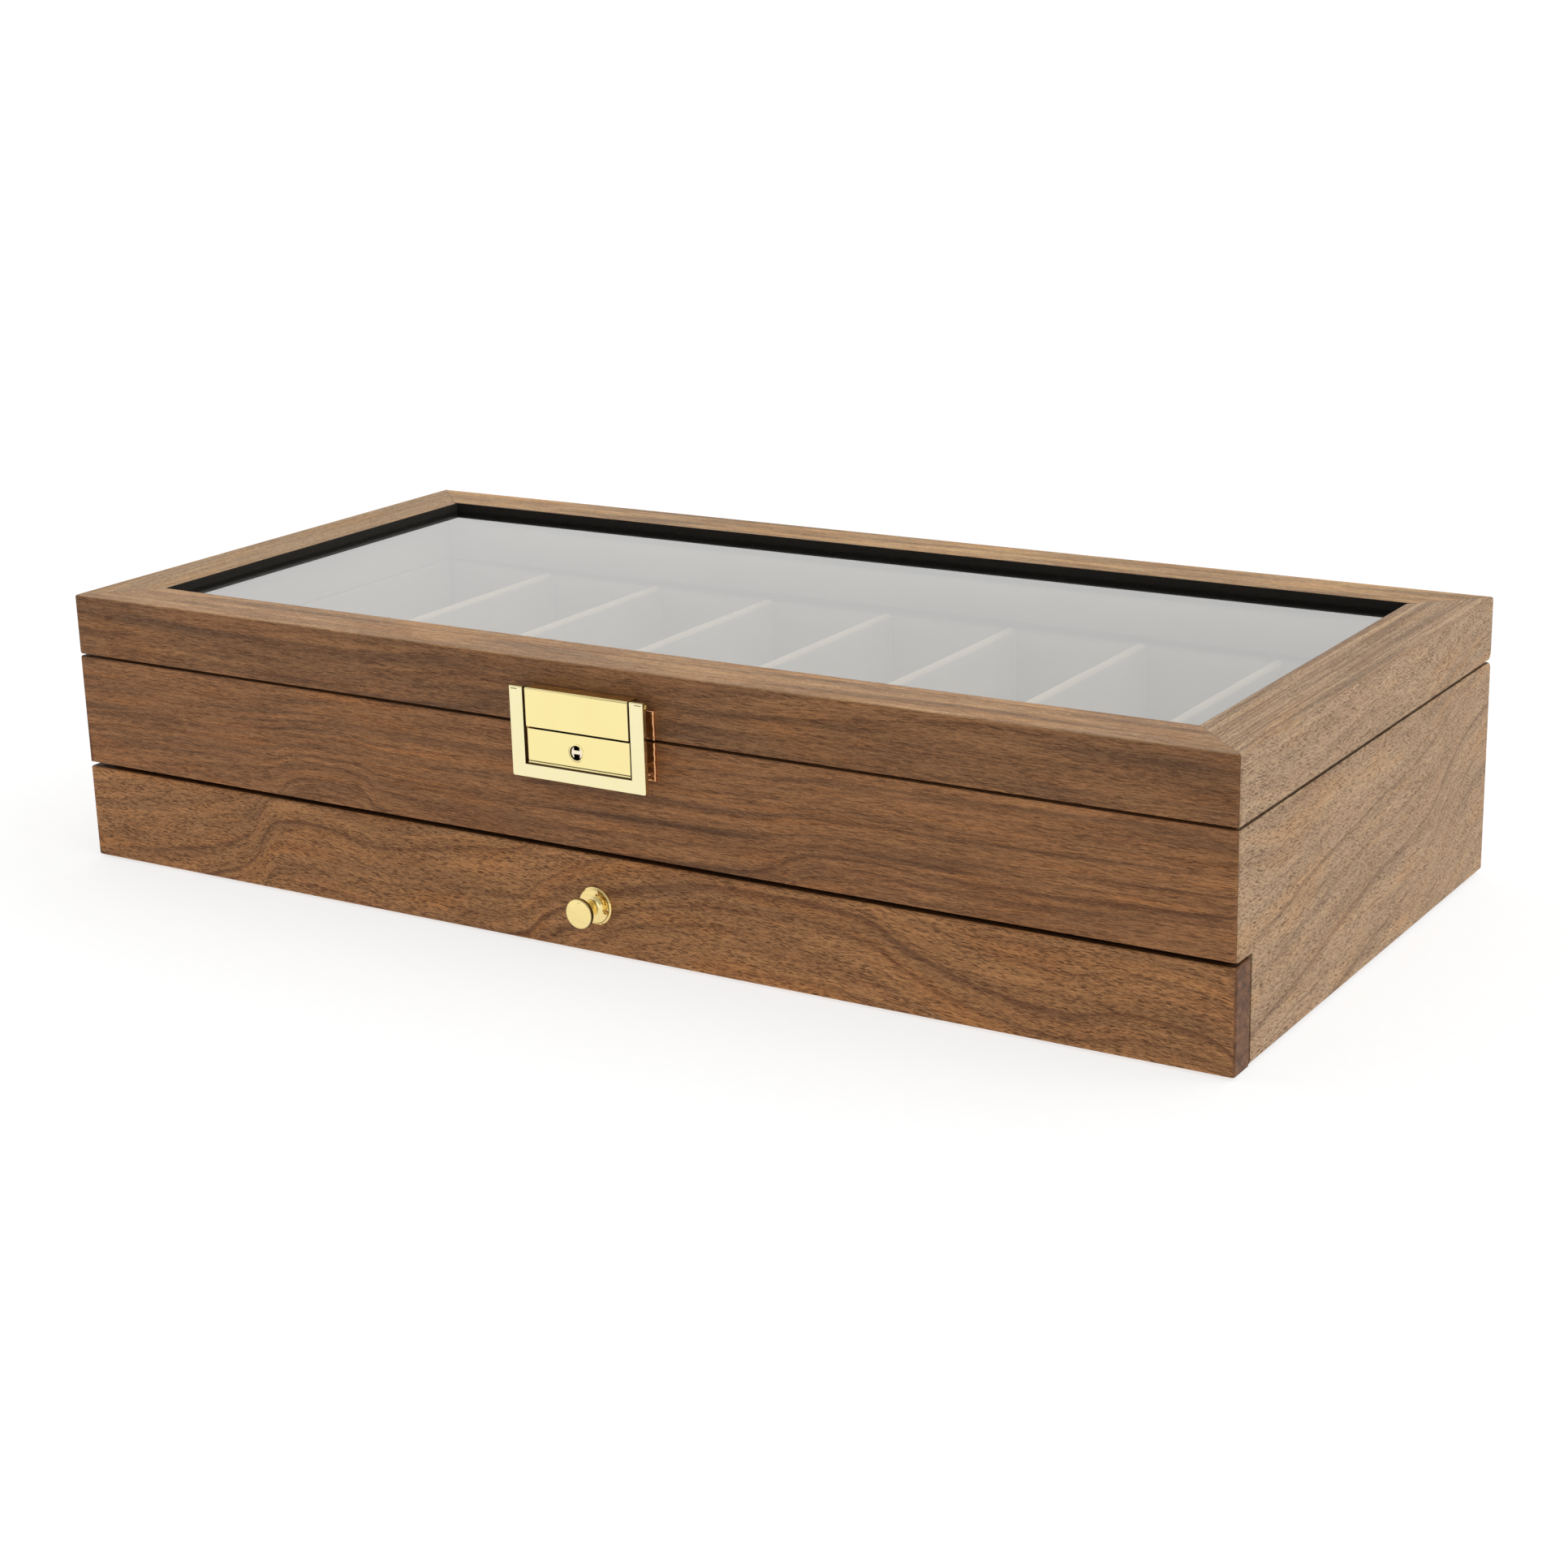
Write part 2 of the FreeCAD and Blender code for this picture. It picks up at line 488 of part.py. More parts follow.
e = [Part.LineSegment(at(0), at(1)), Part.Arc(at(1), at(2), at(3)), Part.LineSegment(at(3), at(4)),
     Part.LineSegment(at(4), at(5)), Part.LineSegment(at(5), at(6)), Part.Arc(at(6), at(7), at(8)),
     Part.LineSegment(at(8), at(9)), Part.Arc(at(9), at(10), at(11)), Part.Arc(at(11), at(12), at(13)),
     Part.LineSegment(at(13), at(14)), Part.LineSegment(at(14), at(0))]
profile = Part.Face(Part.Wire([c.toShape() for c in e]))
knob = one(profile.revolve(V(0, 0, KNOB_Z), V(0, 1, 0), 360))
if knob.Volume < 0:
    knob.reverse()
thread = cyl((0, yk - 4.0, KNOB_Z), 1.2, 10, (0, 1, 0))
save("knob", one(knob.cut(thread)))
ks = cyl((0, yk - 4.0, KNOB_Z), 1.2, DF_Y - (yk - 4.0), (0, 1, 0))
head = cyl((0, DF_Y, KNOB_Z), 2.8, 1.5, (0, 1, 0))
head = rounded(head, 0.8, lambda b: near(b.YMin, DF_Y + 1.5) and near(b.YMax, DF_Y + 1.5))
ks = ks.fuse(head)
for r in (0, 90):
    s = box(-1.6, DF_Y + 0.8, KNOB_Z - 0.25, 1.6, DF_Y + 2.0, KNOB_Z + 0.25)
    s.rotate(V(0, 0, KNOB_Z), V(0, 1, 0), r)
    ks = ks.cut(s)
save("knob_screw", one(ks.removeSplitter()))
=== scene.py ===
import math
import bpy
import bmesh
import numpy as np
from mathutils import Matrix, Vector, noise


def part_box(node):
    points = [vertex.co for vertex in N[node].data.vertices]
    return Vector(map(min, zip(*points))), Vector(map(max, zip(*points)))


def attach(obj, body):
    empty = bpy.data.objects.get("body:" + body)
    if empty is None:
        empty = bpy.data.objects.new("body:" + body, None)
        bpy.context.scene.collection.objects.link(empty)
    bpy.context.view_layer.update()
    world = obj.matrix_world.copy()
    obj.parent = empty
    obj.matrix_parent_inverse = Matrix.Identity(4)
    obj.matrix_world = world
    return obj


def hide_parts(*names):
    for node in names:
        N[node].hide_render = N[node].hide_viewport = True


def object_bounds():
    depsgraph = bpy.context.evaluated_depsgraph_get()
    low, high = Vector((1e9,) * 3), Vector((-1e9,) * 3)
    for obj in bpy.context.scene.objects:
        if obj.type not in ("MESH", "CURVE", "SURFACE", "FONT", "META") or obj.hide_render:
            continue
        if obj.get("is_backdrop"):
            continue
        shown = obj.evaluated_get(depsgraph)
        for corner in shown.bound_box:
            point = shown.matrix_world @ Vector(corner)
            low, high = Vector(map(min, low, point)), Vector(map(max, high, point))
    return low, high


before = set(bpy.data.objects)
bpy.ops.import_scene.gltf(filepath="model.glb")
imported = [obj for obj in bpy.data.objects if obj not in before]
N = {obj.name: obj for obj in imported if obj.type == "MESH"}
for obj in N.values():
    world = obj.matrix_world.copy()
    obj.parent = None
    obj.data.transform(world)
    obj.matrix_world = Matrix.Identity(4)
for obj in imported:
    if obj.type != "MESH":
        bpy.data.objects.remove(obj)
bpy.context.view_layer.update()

scene = bpy.context.scene


def srgb(r, g, b):
    """Linear colour from 0-255 sRGB numbers."""
    def lin(v):
        v /= 255.0
        return v / 12.92 if v <= 0.04045 else ((v + 0.055) / 1.055) ** 2.4
    return (lin(r), lin(g), lin(b), 1.0)


# ------------------------------------------------------------------ camera
cam_data = bpy.data.cameras.new("cam")
cam = bpy.data.objects.new("cam", cam_data)
scene.collection.objects.link(cam)
cam_data.sensor_width = 36.0
cam_data.sensor_fit = "HORIZONTAL"
cam_data.lens = 66.62
cam_data.clip_start = 0.01
cam_data.clip_end = 100.0
right = Vector((0.84898775, 0.52782425, -0.02492711))
up = Vector((-0.13269923, 0.25862915, 0.95681862))
back = Vector((0.51147895, -0.80901948, 0.28961485))
cam.matrix_world = Matrix(((right.x, up.x, back.x, 0.47276),
                           (right.y, up.y, back.y, -0.73914),
                           (right.z, up.z, back.z, 0.29178),
                           (0, 0, 0, 1)))
scene.camera = cam
scene.view_settings.view_transform = "Standard"
scene.view_settings.look = "None"

# ------------------------------------------------------------- studio light
# a bright tent, darker in front and above, brighter low on the right and behind
world = bpy.data.worlds.new("studio")
scene.world = world
world.use_nodes = True
wt = world.node_tree
bg = wt.nodes["Background"]
bg.inputs["Color"].default_value = (1.0, 1.0, 1.0, 1.0)
co = wt.nodes.new("ShaderNodeTexCoord")
level = None
for way, lo, hi, gain in (((0.20, -0.80, 0.56), 0.15, 0.90, -0.46), ((0.95, 0.10, 0.20), 0.55, 0.98, 0.55),
                          ((-0.51, 0.81, 0.29), 0.72, 0.97, 0.01)):
    dot = wt.nodes.new("ShaderNodeVectorMath")
    dot.operation = "DOT_PRODUCT"
    wt.links.new(co.outputs["Generated"], dot.inputs[0])
    dot.inputs[1].default_value = Vector(way).normalized()
    rmp = wt.nodes.new("ShaderNodeMapRange")
    rmp.interpolation_type = "SMOOTHSTEP"
    wt.links.new(dot.outputs["Value"], rmp.inputs["Value"])
    rmp.inputs["From Min"].default_value = lo
    rmp.inputs["From Max"].default_value = hi
    rmp.inputs["To Min"].default_value = 0.0
    rmp.inputs["To Max"].default_value = gain
    plus = wt.nodes.new("ShaderNodeMath")
    plus.operation = "ADD"
    wt.links.new(rmp.outputs["Result"], plus.inputs[0])
    if level is None:
        plus.inputs[1].default_value = 0.96
    else:
        wt.links.new(level, plus.inputs[1])
    level = plus.outputs[0]
wt.links.new(level, bg.inputs["Strength"])

sun_data = bpy.data.lights.new("key", "SUN")
sun_data.energy = 0.55
sun_data.angle = math.radians(60)
sun_data.color = (1.0, 0.99, 0.975)
sun = bpy.data.objects.new("key", sun_data)
scene.collection.objects.link(sun)
sun.rotation_mode = "QUATERNION"
sun.rotation_quaternion = Vector((0.62, 0.20, 0.76)).to_track_quat("Z", "Y")

floor_mesh = bpy.data.meshes.new("floor")
floor_mesh.from_pydata([(-30, -30, 0), (30, -30, 0), (30, 30, 0), (-30, 30, 0)], [], [(0, 1, 2, 3)])
floor = bpy.data.objects.new("floor", floor_mesh)
scene.collection.objects.link(floor)
floor.location.z = -0.0002
floor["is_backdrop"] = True


# ---------------------------------------------------------------- node tools
class Tree:
    """A small wrapper that builds a material's node tree."""

    def __init__(self, name):
        self.mat = bpy.data.materials.new(name)
        self.mat.use_nodes = True
        self.nt = self.mat.node_tree
        self.nt.nodes.clear()
        self.out = self.nt.nodes.new("ShaderNodeOutputMaterial")

    def node(self, kind, **props):
        n = self.nt.nodes.new(kind)
        for k, v in props.items():
            setattr(n, k, v)
        return n

    def link(self, a, b):
        self.nt.links.new(a, b)

    def put(self, socket, value):
        if isinstance(value, bpy.types.NodeSocket):
            self.link(value, socket)
        elif value is not None:
            socket.default_value = value

    def math(self, op, a, b=None, c=None, clamp=False):
        n = self.node("ShaderNodeMath", operation=op, use_clamp=clamp)
        for s, v in zip(n.inputs, (a, b, c)):
            self.put(s, v)
        return n.outputs[0]

    def add(self, a, b):
        return self.math("ADD", a, b)

    def sub(self, a, b):
        return self.math("SUBTRACT", a, b)

    def mul(self, a, b):
        return self.math("MULTIPLY", a, b)

    def madd(self, a, b, c):
        return self.math("MULTIPLY_ADD", a, b, c)

    def xyz(self, x, y, z):
        n = self.node("ShaderNodeCombineXYZ")
        for s, v in zip(n.inputs, (x, y, z)):
            self.put(s, v)
        return n.outputs[0]

    def noise(self, vec, scale=1.0, detail=2.0, rough=0.5, dims="3D", lac=2.0, distortion=0.0):
        n = self.node("ShaderNodeTexNoise", noise_dimensions=dims)
        self.link(vec, n.inputs["Vector"])
        n.inputs["Scale"].default_value = scale
        n.inputs["Detail"].default_value = detail
        n.inputs["Roughness"].default_value = rough
        n.inputs["Lacunarity"].default_value = lac
        n.inputs["Distortion"].default_value = distortion
        return n.outputs[0]

    def step(self, x, lo, hi, a=0.0, b=1.0, kind="SMOOTHSTEP"):
        """a below lo, b above hi, smooth between."""
        n = self.node("ShaderNodeMapRange", interpolation_type=kind)
        self.put(n.inputs["Value"], x)
        self.put(n.inputs["From Min"], lo)
        self.put(n.inputs["From Max"], hi)
        self.put(n.inputs["To Min"], a)
        self.put(n.inputs["To Max"], b)
        return n.outputs["Result"]

    def mix(self, f, a, b, kind="MIX"):
        n = self.node("ShaderNodeMix", data_type="RGBA", blend_type=kind)
        self.put(n.inputs[0], f)
        self.put(n.inputs[6], a)
        self.put(n.inputs[7], b)
        return n.outputs[2]

    def ramp(self, f, stops):
        n = self.node("ShaderNodeValToRGB")
        self.put(n.inputs[0], f)
        els = n.color_ramp.elements
        while len(els) < len(stops):
            els.new(0.5)
        for e, (p, c) in zip(els, stops):
            e.position, e.color = p, c
        return n.outputs[0]

    def bump(self, height, distance, strength=1.0, normal=None):
        n = self.node("ShaderNodeBump")
        n.inputs["Strength"].default_value = strength
        n.inputs["Distance"].default_value = distance
        self.link(height, n.inputs["Height"])
        if normal is not None:
            self.link(normal, n.inputs["Normal"])
        return n.outputs[0]

    def curve(self, v, pts):
        """A smooth function of v through the points (v, value)."""
        (x0, x1), ys = (pts[0][0], pts[-1][0]), [p[1] for p in pts]
        y0, y1 = min(ys), max(ys)
        n = self.node("ShaderNodeFloatCurve")
        c = n.mapping.curves[0]
        c.points[0].location = (0.0, (pts[0][1] - y0) / (y1 - y0))
        c.points[1].location = (1.0, (pts[-1][1] - y0) / (y1 - y0))
        for px, py in pts[1:-1]:
            c.points.new((px - x0) / (x1 - x0), (py - y0) / (y1 - y0))
        n.mapping.update()
        self.put(n.inputs["Value"], self.math("MULTIPLY", self.sub(v, x0), 1.0 / (x1 - x0), clamp=True))
        return self.madd(n.outputs[0], y1 - y0, y0)

    def position(self):
        c = self.node("ShaderNodeTexCoord")
        s = self.node("ShaderNodeSeparateXYZ")
        self.link(c.outputs["Object"], s.inputs[0])
        return c.outputs["Object"], s.outputs[0], s.outputs[1], s.outputs[2]

    def shader(self, **inputs):
        n = self.node("ShaderNodeBsdfPrincipled")
        for k, v in inputs.items():
            self.put(n.inputs[k.replace("_", " ")], v)
        self.link(n.outputs[0], self.out.inputs["Surface"])
        return n


# ------------------------------------------------------------------- walnut
BLACK = srgb(34, 31, 27)
CREAM = srgb(206, 195, 176)
# painted shade for narrow gaps between parts
GAP_SHADE = srgb(20, 13, 9)


def walnut(name, grain, seed, light, dark, pore_col, slope=0.0, warp=4.0, ripple=0.6, path=None, fade=None,
           follow=0.15, waves=(), marks=(), line=0.3, period=9.0, cloud=0.8, smudge=0.5, streak=0.4, fine=0.3, curl=0.5,
           long_lines=0.0, streaky=0.8, pore=(3.4, 0.15, 0.72, 0.8), bold=(2.1, 0.24, 0.35, 0.9), rough=0.52, tint=(1, 1, 1),
           top_painted_light=None, top=False, paint=None):
    """Satin walnut veneer in the row's millimetres. grain is the axis that the fibres run along. The
    growth lines are contours of one field. path: (along, across) points of one growth line that
    the others run beside. waves: (along, across, half length, half width, rise) of a swell.
    marks: (offset from the path, width, strength) of a darker line. pore and bold: (length,
    width, share, depth) of the fine and of the larger pores."""
    t = Tree(name)
    _, x, y, z = t.position()
    x, y, z = (t.mul(v, 1000.0) for v in (x, y, z))
    a, c, d = (x, z, y) if grain == "X" else (y, z, x)
    s = float(seed)
    up = t.step(z, 86.9, 87.35) if top else None       # the upper face is cut from straighter veneer, and is painted lighter further on, as if lit from above
    flat = t.madd(d, 0.8, c)
    n1 = t.noise(t.xyz(t.madd(a, 1 / 85.0, s * 3.1), t.madd(c, 1 / 42.0, s * 1.7), t.mul(d, 1 / 42.0)), 1.0, 1.5, 0.45)
    n2 = t.noise(t.xyz(t.madd(a, 1 / 24.0, s * 5.3), t.madd(c, 1 / 11.0, s), t.mul(d, 1 / 11.0)), 1.0, 2.0, 0.5)
    n3 = t.noise(t.xyz(t.madd(a, 1 / 11.0, s * 2.3), t.madd(c, 1 / 4.5, s), t.mul(d, 1 / 4.5)), 1.0, 1.0, 0.5)
    bend = t.madd(t.sub(n2, 0.5), ripple * 2.0, t.mul(t.sub(n1, 0.5), warp * 2.0))
    for a0, c0, sa, sc, rise in waves:
        ea = t.math("POWER", t.mul(t.sub(a, a0), 1.0 / sa), 2.0)
        ec = t.math("POWER", t.mul(t.sub(c, c0), 1.0 / sc), 2.0)
        g = t.math("EXPONENT", t.mul(t.add(ea, ec), -1.0))
        bend = t.madd(g, -rise, bend)
    tilt = t.mul(a, slope)
    lift = None
    if path:
        lift = t.curve(a, path)
        if fade:
            lift = t.mul(lift, t.step(c, fade[0], fade[1], 1.0, fade[2]))
    if top:
        keep = t.madd(up, -0.88, 1.0)
        bend, tilt = t.mul(bend, keep), t.mul(tilt, keep)
        if lift is not None:
            lift = t.mul(lift, t.sub(1.0, up))
    field = t.add(t.add(flat, tilt), bend)
    fibre = t.add(t.madd(tilt, 0.6, flat), t.mul(bend, 0.30))
    swirl = t.mul(t.sub(n3, 0.5), curl * 2.0)
    fibre = t.add(fibre, t.mul(swirl, keep) if top else swirl)
    if lift is not None:
        field = t.sub(field, lift)
        fibre = t.madd(lift, -follow, fibre)
    drift = t.noise(t.xyz(t.mul(a, 1 / 160.0), t.madd(field, 1 / 21.0, s * 9.0), 0.0), 1.0, 1.0, 0.5)
    ring = t.madd(drift, 2.6, t.mul(field, 1.0 / period))
    frac = t.math("FRACT", ring)
    late = t.mul(t.math("POWER", frac, 4.0), t.step(frac, 0.88, 1.0, 1.0, 0.0))
    some = t.noise(t.xyz(t.madd(a, 1 / 55.0, s), t.mul(field, 1 / 9.0), s), 1.0, 1.0, 0.5)
    late = t.mul(t.mul(late, line), t.step(some, 0.36, 0.66, 0.1, 1.0))
    base = t.madd(-95.2, 0.8, 0.0) if grain == "X" else t.madd(200.0, 0.8, 0.0)
    for off, width, strength in marks:
        e = t.mul(t.sub(t.sub(field, base), off), 1.0 / width)
        m = t.mul(t.step(e, -1.0, 0.0), t.step(e, 0.0, 0.35, 1.0, 0.0))
        late = t.madd(t.mul(m, t.step(some, 0.25, 0.6, 0.45, 1.0)), strength, late)
    # clouds of tone that follow the figure, fibre streaks, and a fine mottle
    cl = t.noise(t.xyz(t.madd(a, 1 / 58.0, t.madd(flat, 0.04, s * 2.0)), t.mul(field, 1 / 8.0), s + 0.4), 1.0, 3.0, 0.55)
    f1 = t.noise(t.xyz(t.madd(a, 1 / 30.0, t.madd(flat, 0.17, s)), t.mul(fibre, 1 / 1.3), 0.45), 1.0, 3.0, 0.62)
    f2 = t.noise(t.xyz(t.madd(a, 1 / 10.0, t.madd(flat, 0.83, -s)), t.mul(fibre, 1 / 0.31), 0.37), 1.0, 1.0, 0.5)
    f3 = t.noise(t.xyz(t.madd(a, 1 / 0.95, t.madd(flat, 1.9, s)), t.mul(fibre, 1 / 0.36), 0.41), 1.0, 2.0, 0.6)
    tone = t.madd(t.sub(cl, 0.5), 1.1 * cloud, 0.60)
    tone = t.madd(t.sub(f1, 0.5), streak * 2.0, tone)
    tone = t.madd(t.sub(f2, 0.5), streak * 1.2, tone)
    tone = t.madd(t.sub(f3, 0.5), fine * 2.0, tone)
    tone = t.madd(frac, -0.06, tone)
    tone = t.sub(tone, late)
    if top:                                            # long straight streaks on the upper face
        f5 = t.noise(t.xyz(t.madd(a, 1 / 110.0, t.madd(flat, 0.09, s * 2.9)), t.mul(fibre, 1 / 0.80), 0.55), 1.0, 3.0, 0.70)
        tone = t.madd(t.mul(t.step(f5, 0.36, 0.60, -0.55, 0.25), up), streaky, tone)
    if long_lines:
        f4 = t.noise(t.xyz(t.madd(a, 1 / 60.0, t.madd(flat, 0.11, s * 1.9)), t.mul(t.madd(bend, 0.4, fibre), 1 / 0.62), 0.5), 1.0, 2.0, 0.65)
        where = t.noise(t.xyz(t.madd(a, 1 / 90.0, s * 6.0), t.mul(field, 1 / 16.0), 0.0), 1.0, 0.0, 0.5)
        where = t.step(where, 0.40, 0.60, 0.15, 1.0)
        if lift is not None:                       # clearest on the near side of the path
            where = t.mul(where, t.step(t.sub(field, base), -4.0, 10.0, 1.0, 0.35))
        tone = t.madd(t.mul(t.step(f4, 0.34, 0.47, -1.0, 0.15), where), long_lines, tone)
    mid = tuple(0.5 * (p + q) for p, q in zip(light, dark))
    col = t.ramp(t.math("ADD", tone, 0.0, clamp=True), [(0.02, dark), (0.52, mid), (0.98, light)])
    # golden and redder wood, and greyer smudges drawn out along the grain
    hue = t.noise(t.xyz(t.madd(a, 1 / 48.0, t.madd(flat, 0.03, s * 7.0)), t.mul(field, 1 / 9.0), s * 0.5), 1.0, 2.0, 0.5)
    col = t.mix(t.step(hue, 0.46, 0.70, 0.0, 1.0), col, (1.09, 0.99, 0.86, 1.0), "MULTIPLY")
    col = t.mix(t.step(hue, 0.30, 0.50, 0.6, 0.0), col, (1.03, 0.95, 0.92, 1.0), "MULTIPLY")
    if smudge:
        sm = t.noise(t.xyz(t.madd(a, 1 / 88.0, t.madd(flat, 0.02, s * 1.3)), t.mul(t.madd(field, 0.6, t.mul(fibre, 0.4)), 1 / 4.8), s), 1.0, 2.0, 0.5)
        col = t.mix(t.step(sm, 0.46, 0.70, 0.0, smudge), col, (0.46, 0.50, 0.60, 1.0), "MULTIPLY")
    # pores: short dark dashes along the fibres, crowded by the growth lines
    crowd = t.noise(t.xyz(t.madd(a, 1 / 22.0, t.madd(flat, 0.13, s * 4.0)), t.mul(field, 1 / 2.9), 0.35), 1.0, 2.0, 0.5)
    third = t.madd(c, -0.8, d)
    dashes = None
    for k, (length, width, share, depth) in enumerate((pore, bold)):
        vor = t.node("ShaderNodeTexVoronoi", voronoi_dimensions="3D", feature="F1")
        t.link(t.xyz(t.madd(a, 1 / length, t.madd(flat, 0.9, s + 3.3 * k)), t.madd(fibre, 1 / width, 7.7 * k), t.mul(third, 0.7 / width)),
               vor.inputs["Vector"])
        vor.inputs["Scale"].default_value = 1.0
        vor.inputs["Randomness"].default_value = 1.0
        rnd = t.node("ShaderNodeSeparateColor")
        t.link(vor.outputs["Color"], rnd.inputs[0])
        gate = t.madd(t.sub(crowd, 0.5), 1.1, t.madd(frac, 0.2, share - 0.1))
        here = t.step(t.sub(gate, rnd.outputs[0]), -0.03, 0.03, 0.0, 1.0)
        size = t.step(rnd.outputs[1], 0.0, 1.0, 0.30, 0.56, "LINEAR")
        dash = t.mul(t.step(t.sub(vor.outputs["Distance"], size), -0.05, 0.0, 1.0, 0.0), here)
        by = t.step(rnd.outputs[2], 0.0, 1.0, 0.35 * depth, depth, "LINEAR")
        if top:
            by = t.mul(by, t.madd(up, -0.45, 1.0))
        col = t.mix(t.mul(dash, by), col, pore_col)
        dashes = dash if dashes is None else t.math("MAXIMUM", dashes, dash)
    if tint != (1, 1, 1):
        col = t.mix(1.0, col, (*tint, 1.0), "MULTIPLY")
    # painted light: the upper face is tinted lighter than the rest of the rail, standing in for the light that falls on
    # it from above
    if top and top_painted_light:
        col = t.mix(up, col, t.mix(1.0, col, (*top_painted_light, 1.0), "MULTIPLY"))
    r = t.madd(t.sub(f1, 0.5), 0.14, rough)
    r = t.madd(dashes, 0.20, r)
    # hairline where two mitred pieces meet
    mit = t.math("ABSOLUTE", t.sub(t.sub(t.math("ABSOLUTE", x), 200.0), t.sub(t.math("ABSOLUTE", y), 95.2)))
    hair = t.mul(t.step(mit, 0.08, 0.26, 1.0, 0.0), t.step(z, 30.0, 31.0))
    col = t.mix(t.mul(hair, 0.55), col, pore_col)
    if paint:
        col, r = paint(t, x, y, z, col, r)
    # painted shade: the narrow seam between lid and case is darkened where shade falls in it
    out = t.math("MAXIMUM", t.sub(t.math("ABSOLUTE", x), 200.0), t.sub(t.math("ABSOLUTE", y), 95.2))
    near = t.step(t.math("ABSOLUTE", t.sub(z, 67.8)), 0.36, 0.48, 1.0, 0.0)
    seam = t.mul(near, t.step(out, -0.75, -0.55))
    col = t.mix(t.mul(seam, 0.95), col, GAP_SHADE)
    r = t.madd(seam, 0.38, r)
    height = t.madd(f2, 0.22, t.mul(dashes, -1.0))
    nrm = t.bump(height, 0.00006, 0.6)
    t.shader(Base_Color=col, Roughness=r, Normal=nrm, Specular_IOR_Level=0.22)
    return t.mat


def rebate(axis):
    """Black edge round the glass, and cream nap on the wood's hidden inner faces."""
    def paint(t, x, y, z, col, r):
        across, lim, inner = (x, 179.6, 188.1) if axis == "X" else (y, 74.8 if axis == "Y" else 76.2, 83.3)
        off = t.math("ABSOLUTE", across)
        m = t.mul(t.step(off, lim + 0.12, lim + 0.34, 1.0, 0.0), t.step(z, 80.9, 81.1))
        ledge = t.mul(t.step(off, inner, inner + 0.3, 1.0, 0.0), t.mul(t.step(z, 80.9, 81.1), t.step(z, 86.8, 87.0, 1.0, 0.0)))
        m = t.math("MAXIMUM", m, ledge)
        col = t.mix(m, col, BLACK)
        r = t.madd(m, 0.30, r)
        inside = t.mul(t.step(off, inner - 0.2, inner, 1.0, 0.0), t.step(z, 80.9, 81.15, 1.0, 0.0))
        return t.mix(inside, col, CREAM), r
    return paint


def inner_face(axis):
    """Cream nap on the wood's hidden inner faces."""
    def paint(t, x, y, z, col, r):
        across, inner = (x, 188.1) if axis == "X" else (y, 83.3)
        inside = t.step(t.math("ABSOLUTE", across), inner - 0.2, inner, 1.0, 0.0)
        col = t.mix(t.mul(inside, t.step(z, 36.0, 36.2)), col, CREAM)
        return col, r
    return paint


def front_paint(t, x, y, z, col, r):
    col, r = inner_face("Y")(t, x, y, z, col, r)
    # painted shade on the panel's underside, where the gap above the drawer lies in shade
    m = t.step(z, 32.02, 32.10, 1.0, 0.0)
    col = t.mix(m, col, GAP_SHADE)
    # a dark strip along the left end of the front, wider towards the bottom
    edge = t.madd(z, -0.052, 3.55)
    off = t.sub(t.add(x, 200.0), edge)
    left = t.mul(t.step(off, -0.25, 0.25, 1.0, 0.0), t.step(y, -94.9, -94.4, 1.0, 0.0))
    return t.mix(t.mul(left, 0.5), col, srgb(66, 38, 26)), r


def drawer_paint(t, x, y, z, col, r):
    """Stained end grain, and painted shade on the top edge, so that the gap above reads black."""
    m = t.mul(t.step(t.math("ABSOLUTE", x), 199.2, 199.8), 0.88)
    end = t.noise(t.xyz(t.mul(y, 1 / 3.1), t.mul(z, 1 / 2.4), 0.3), 1.0, 4.0, 0.7)
    col = t.mix(m, col, t.ramp(end, [(0.35, srgb(62, 38, 24)), (0.65, srgb(118, 80, 54))]))
    # painted shade on the top edge, under the gap
    top = t.step(z, 30.70, 30.78)
    return t.mix(top, col, GAP_SHADE), r


def wear(node, mat):
    ob = N[node]
    ob.data.materials.clear()
    ob.data.materials.append(mat)


# L1 for fronts and backs, L2 for the drawer, L3 for the sides: L3 is lighter, partly as lighter veneer and partly as
# painted light from the right
L1, D1, P1 = srgb(158, 117, 81), srgb(97, 67, 45), srgb(72, 46, 28)
L2, D2, P2 = srgb(182, 136, 92), srgb(118, 82, 54), srgb(78, 48, 28)
L3, D3, P3 = srgb(188, 155, 118), srgb(142, 112, 82), srgb(88, 62, 42)
FRONT = dict(line=0.28, smudge=0.60, streak=0.46, fine=0.62, pore=(5.0, 0.21, 0.76, 0.78), bold=(3.8, 0.28, 0.26, 0.92))
SIDE = dict(line=0.24, smudge=0.22, streak=0.32, fine=0.78, cloud=0.55, curl=1.5, long_lines=0.55, pore=(2.3, 0.25, 0.78, 0.85),
            bold=(2.4, 0.34, 0.44, 0.95))
RIGHT = dict(slope=-0.03, warp=3.0, ripple=0.9, follow=0.5,
             path=((-95, 6), (-78, 9), (-40, 15), (0, 21), (30, 25), (47, 29), (57, 36), (70, 44), (80, 49), (95, 54)),
             fade=(40, 86, 0.5), waves=((-95, 62, 22, 20, 13),), marks=((4.0, 2.2, 0.8), (-13.0, 1.6, 0.5), (18.0, 1.8, 0.4), (29.0, 2.0, 0.6)),
             period=11.0)
wear("lid_rail_front", walnut("walnut_lid_front", "X", 1.0, L1, D1, P1, tint=(1.06, 0.976, 0.845), top=True, top_painted_light=(1.68, 2.05, 2.40), streaky=0.35,
                              slope=-0.02, warp=4.0, period=6.5, paint=rebate("Y"), **FRONT))
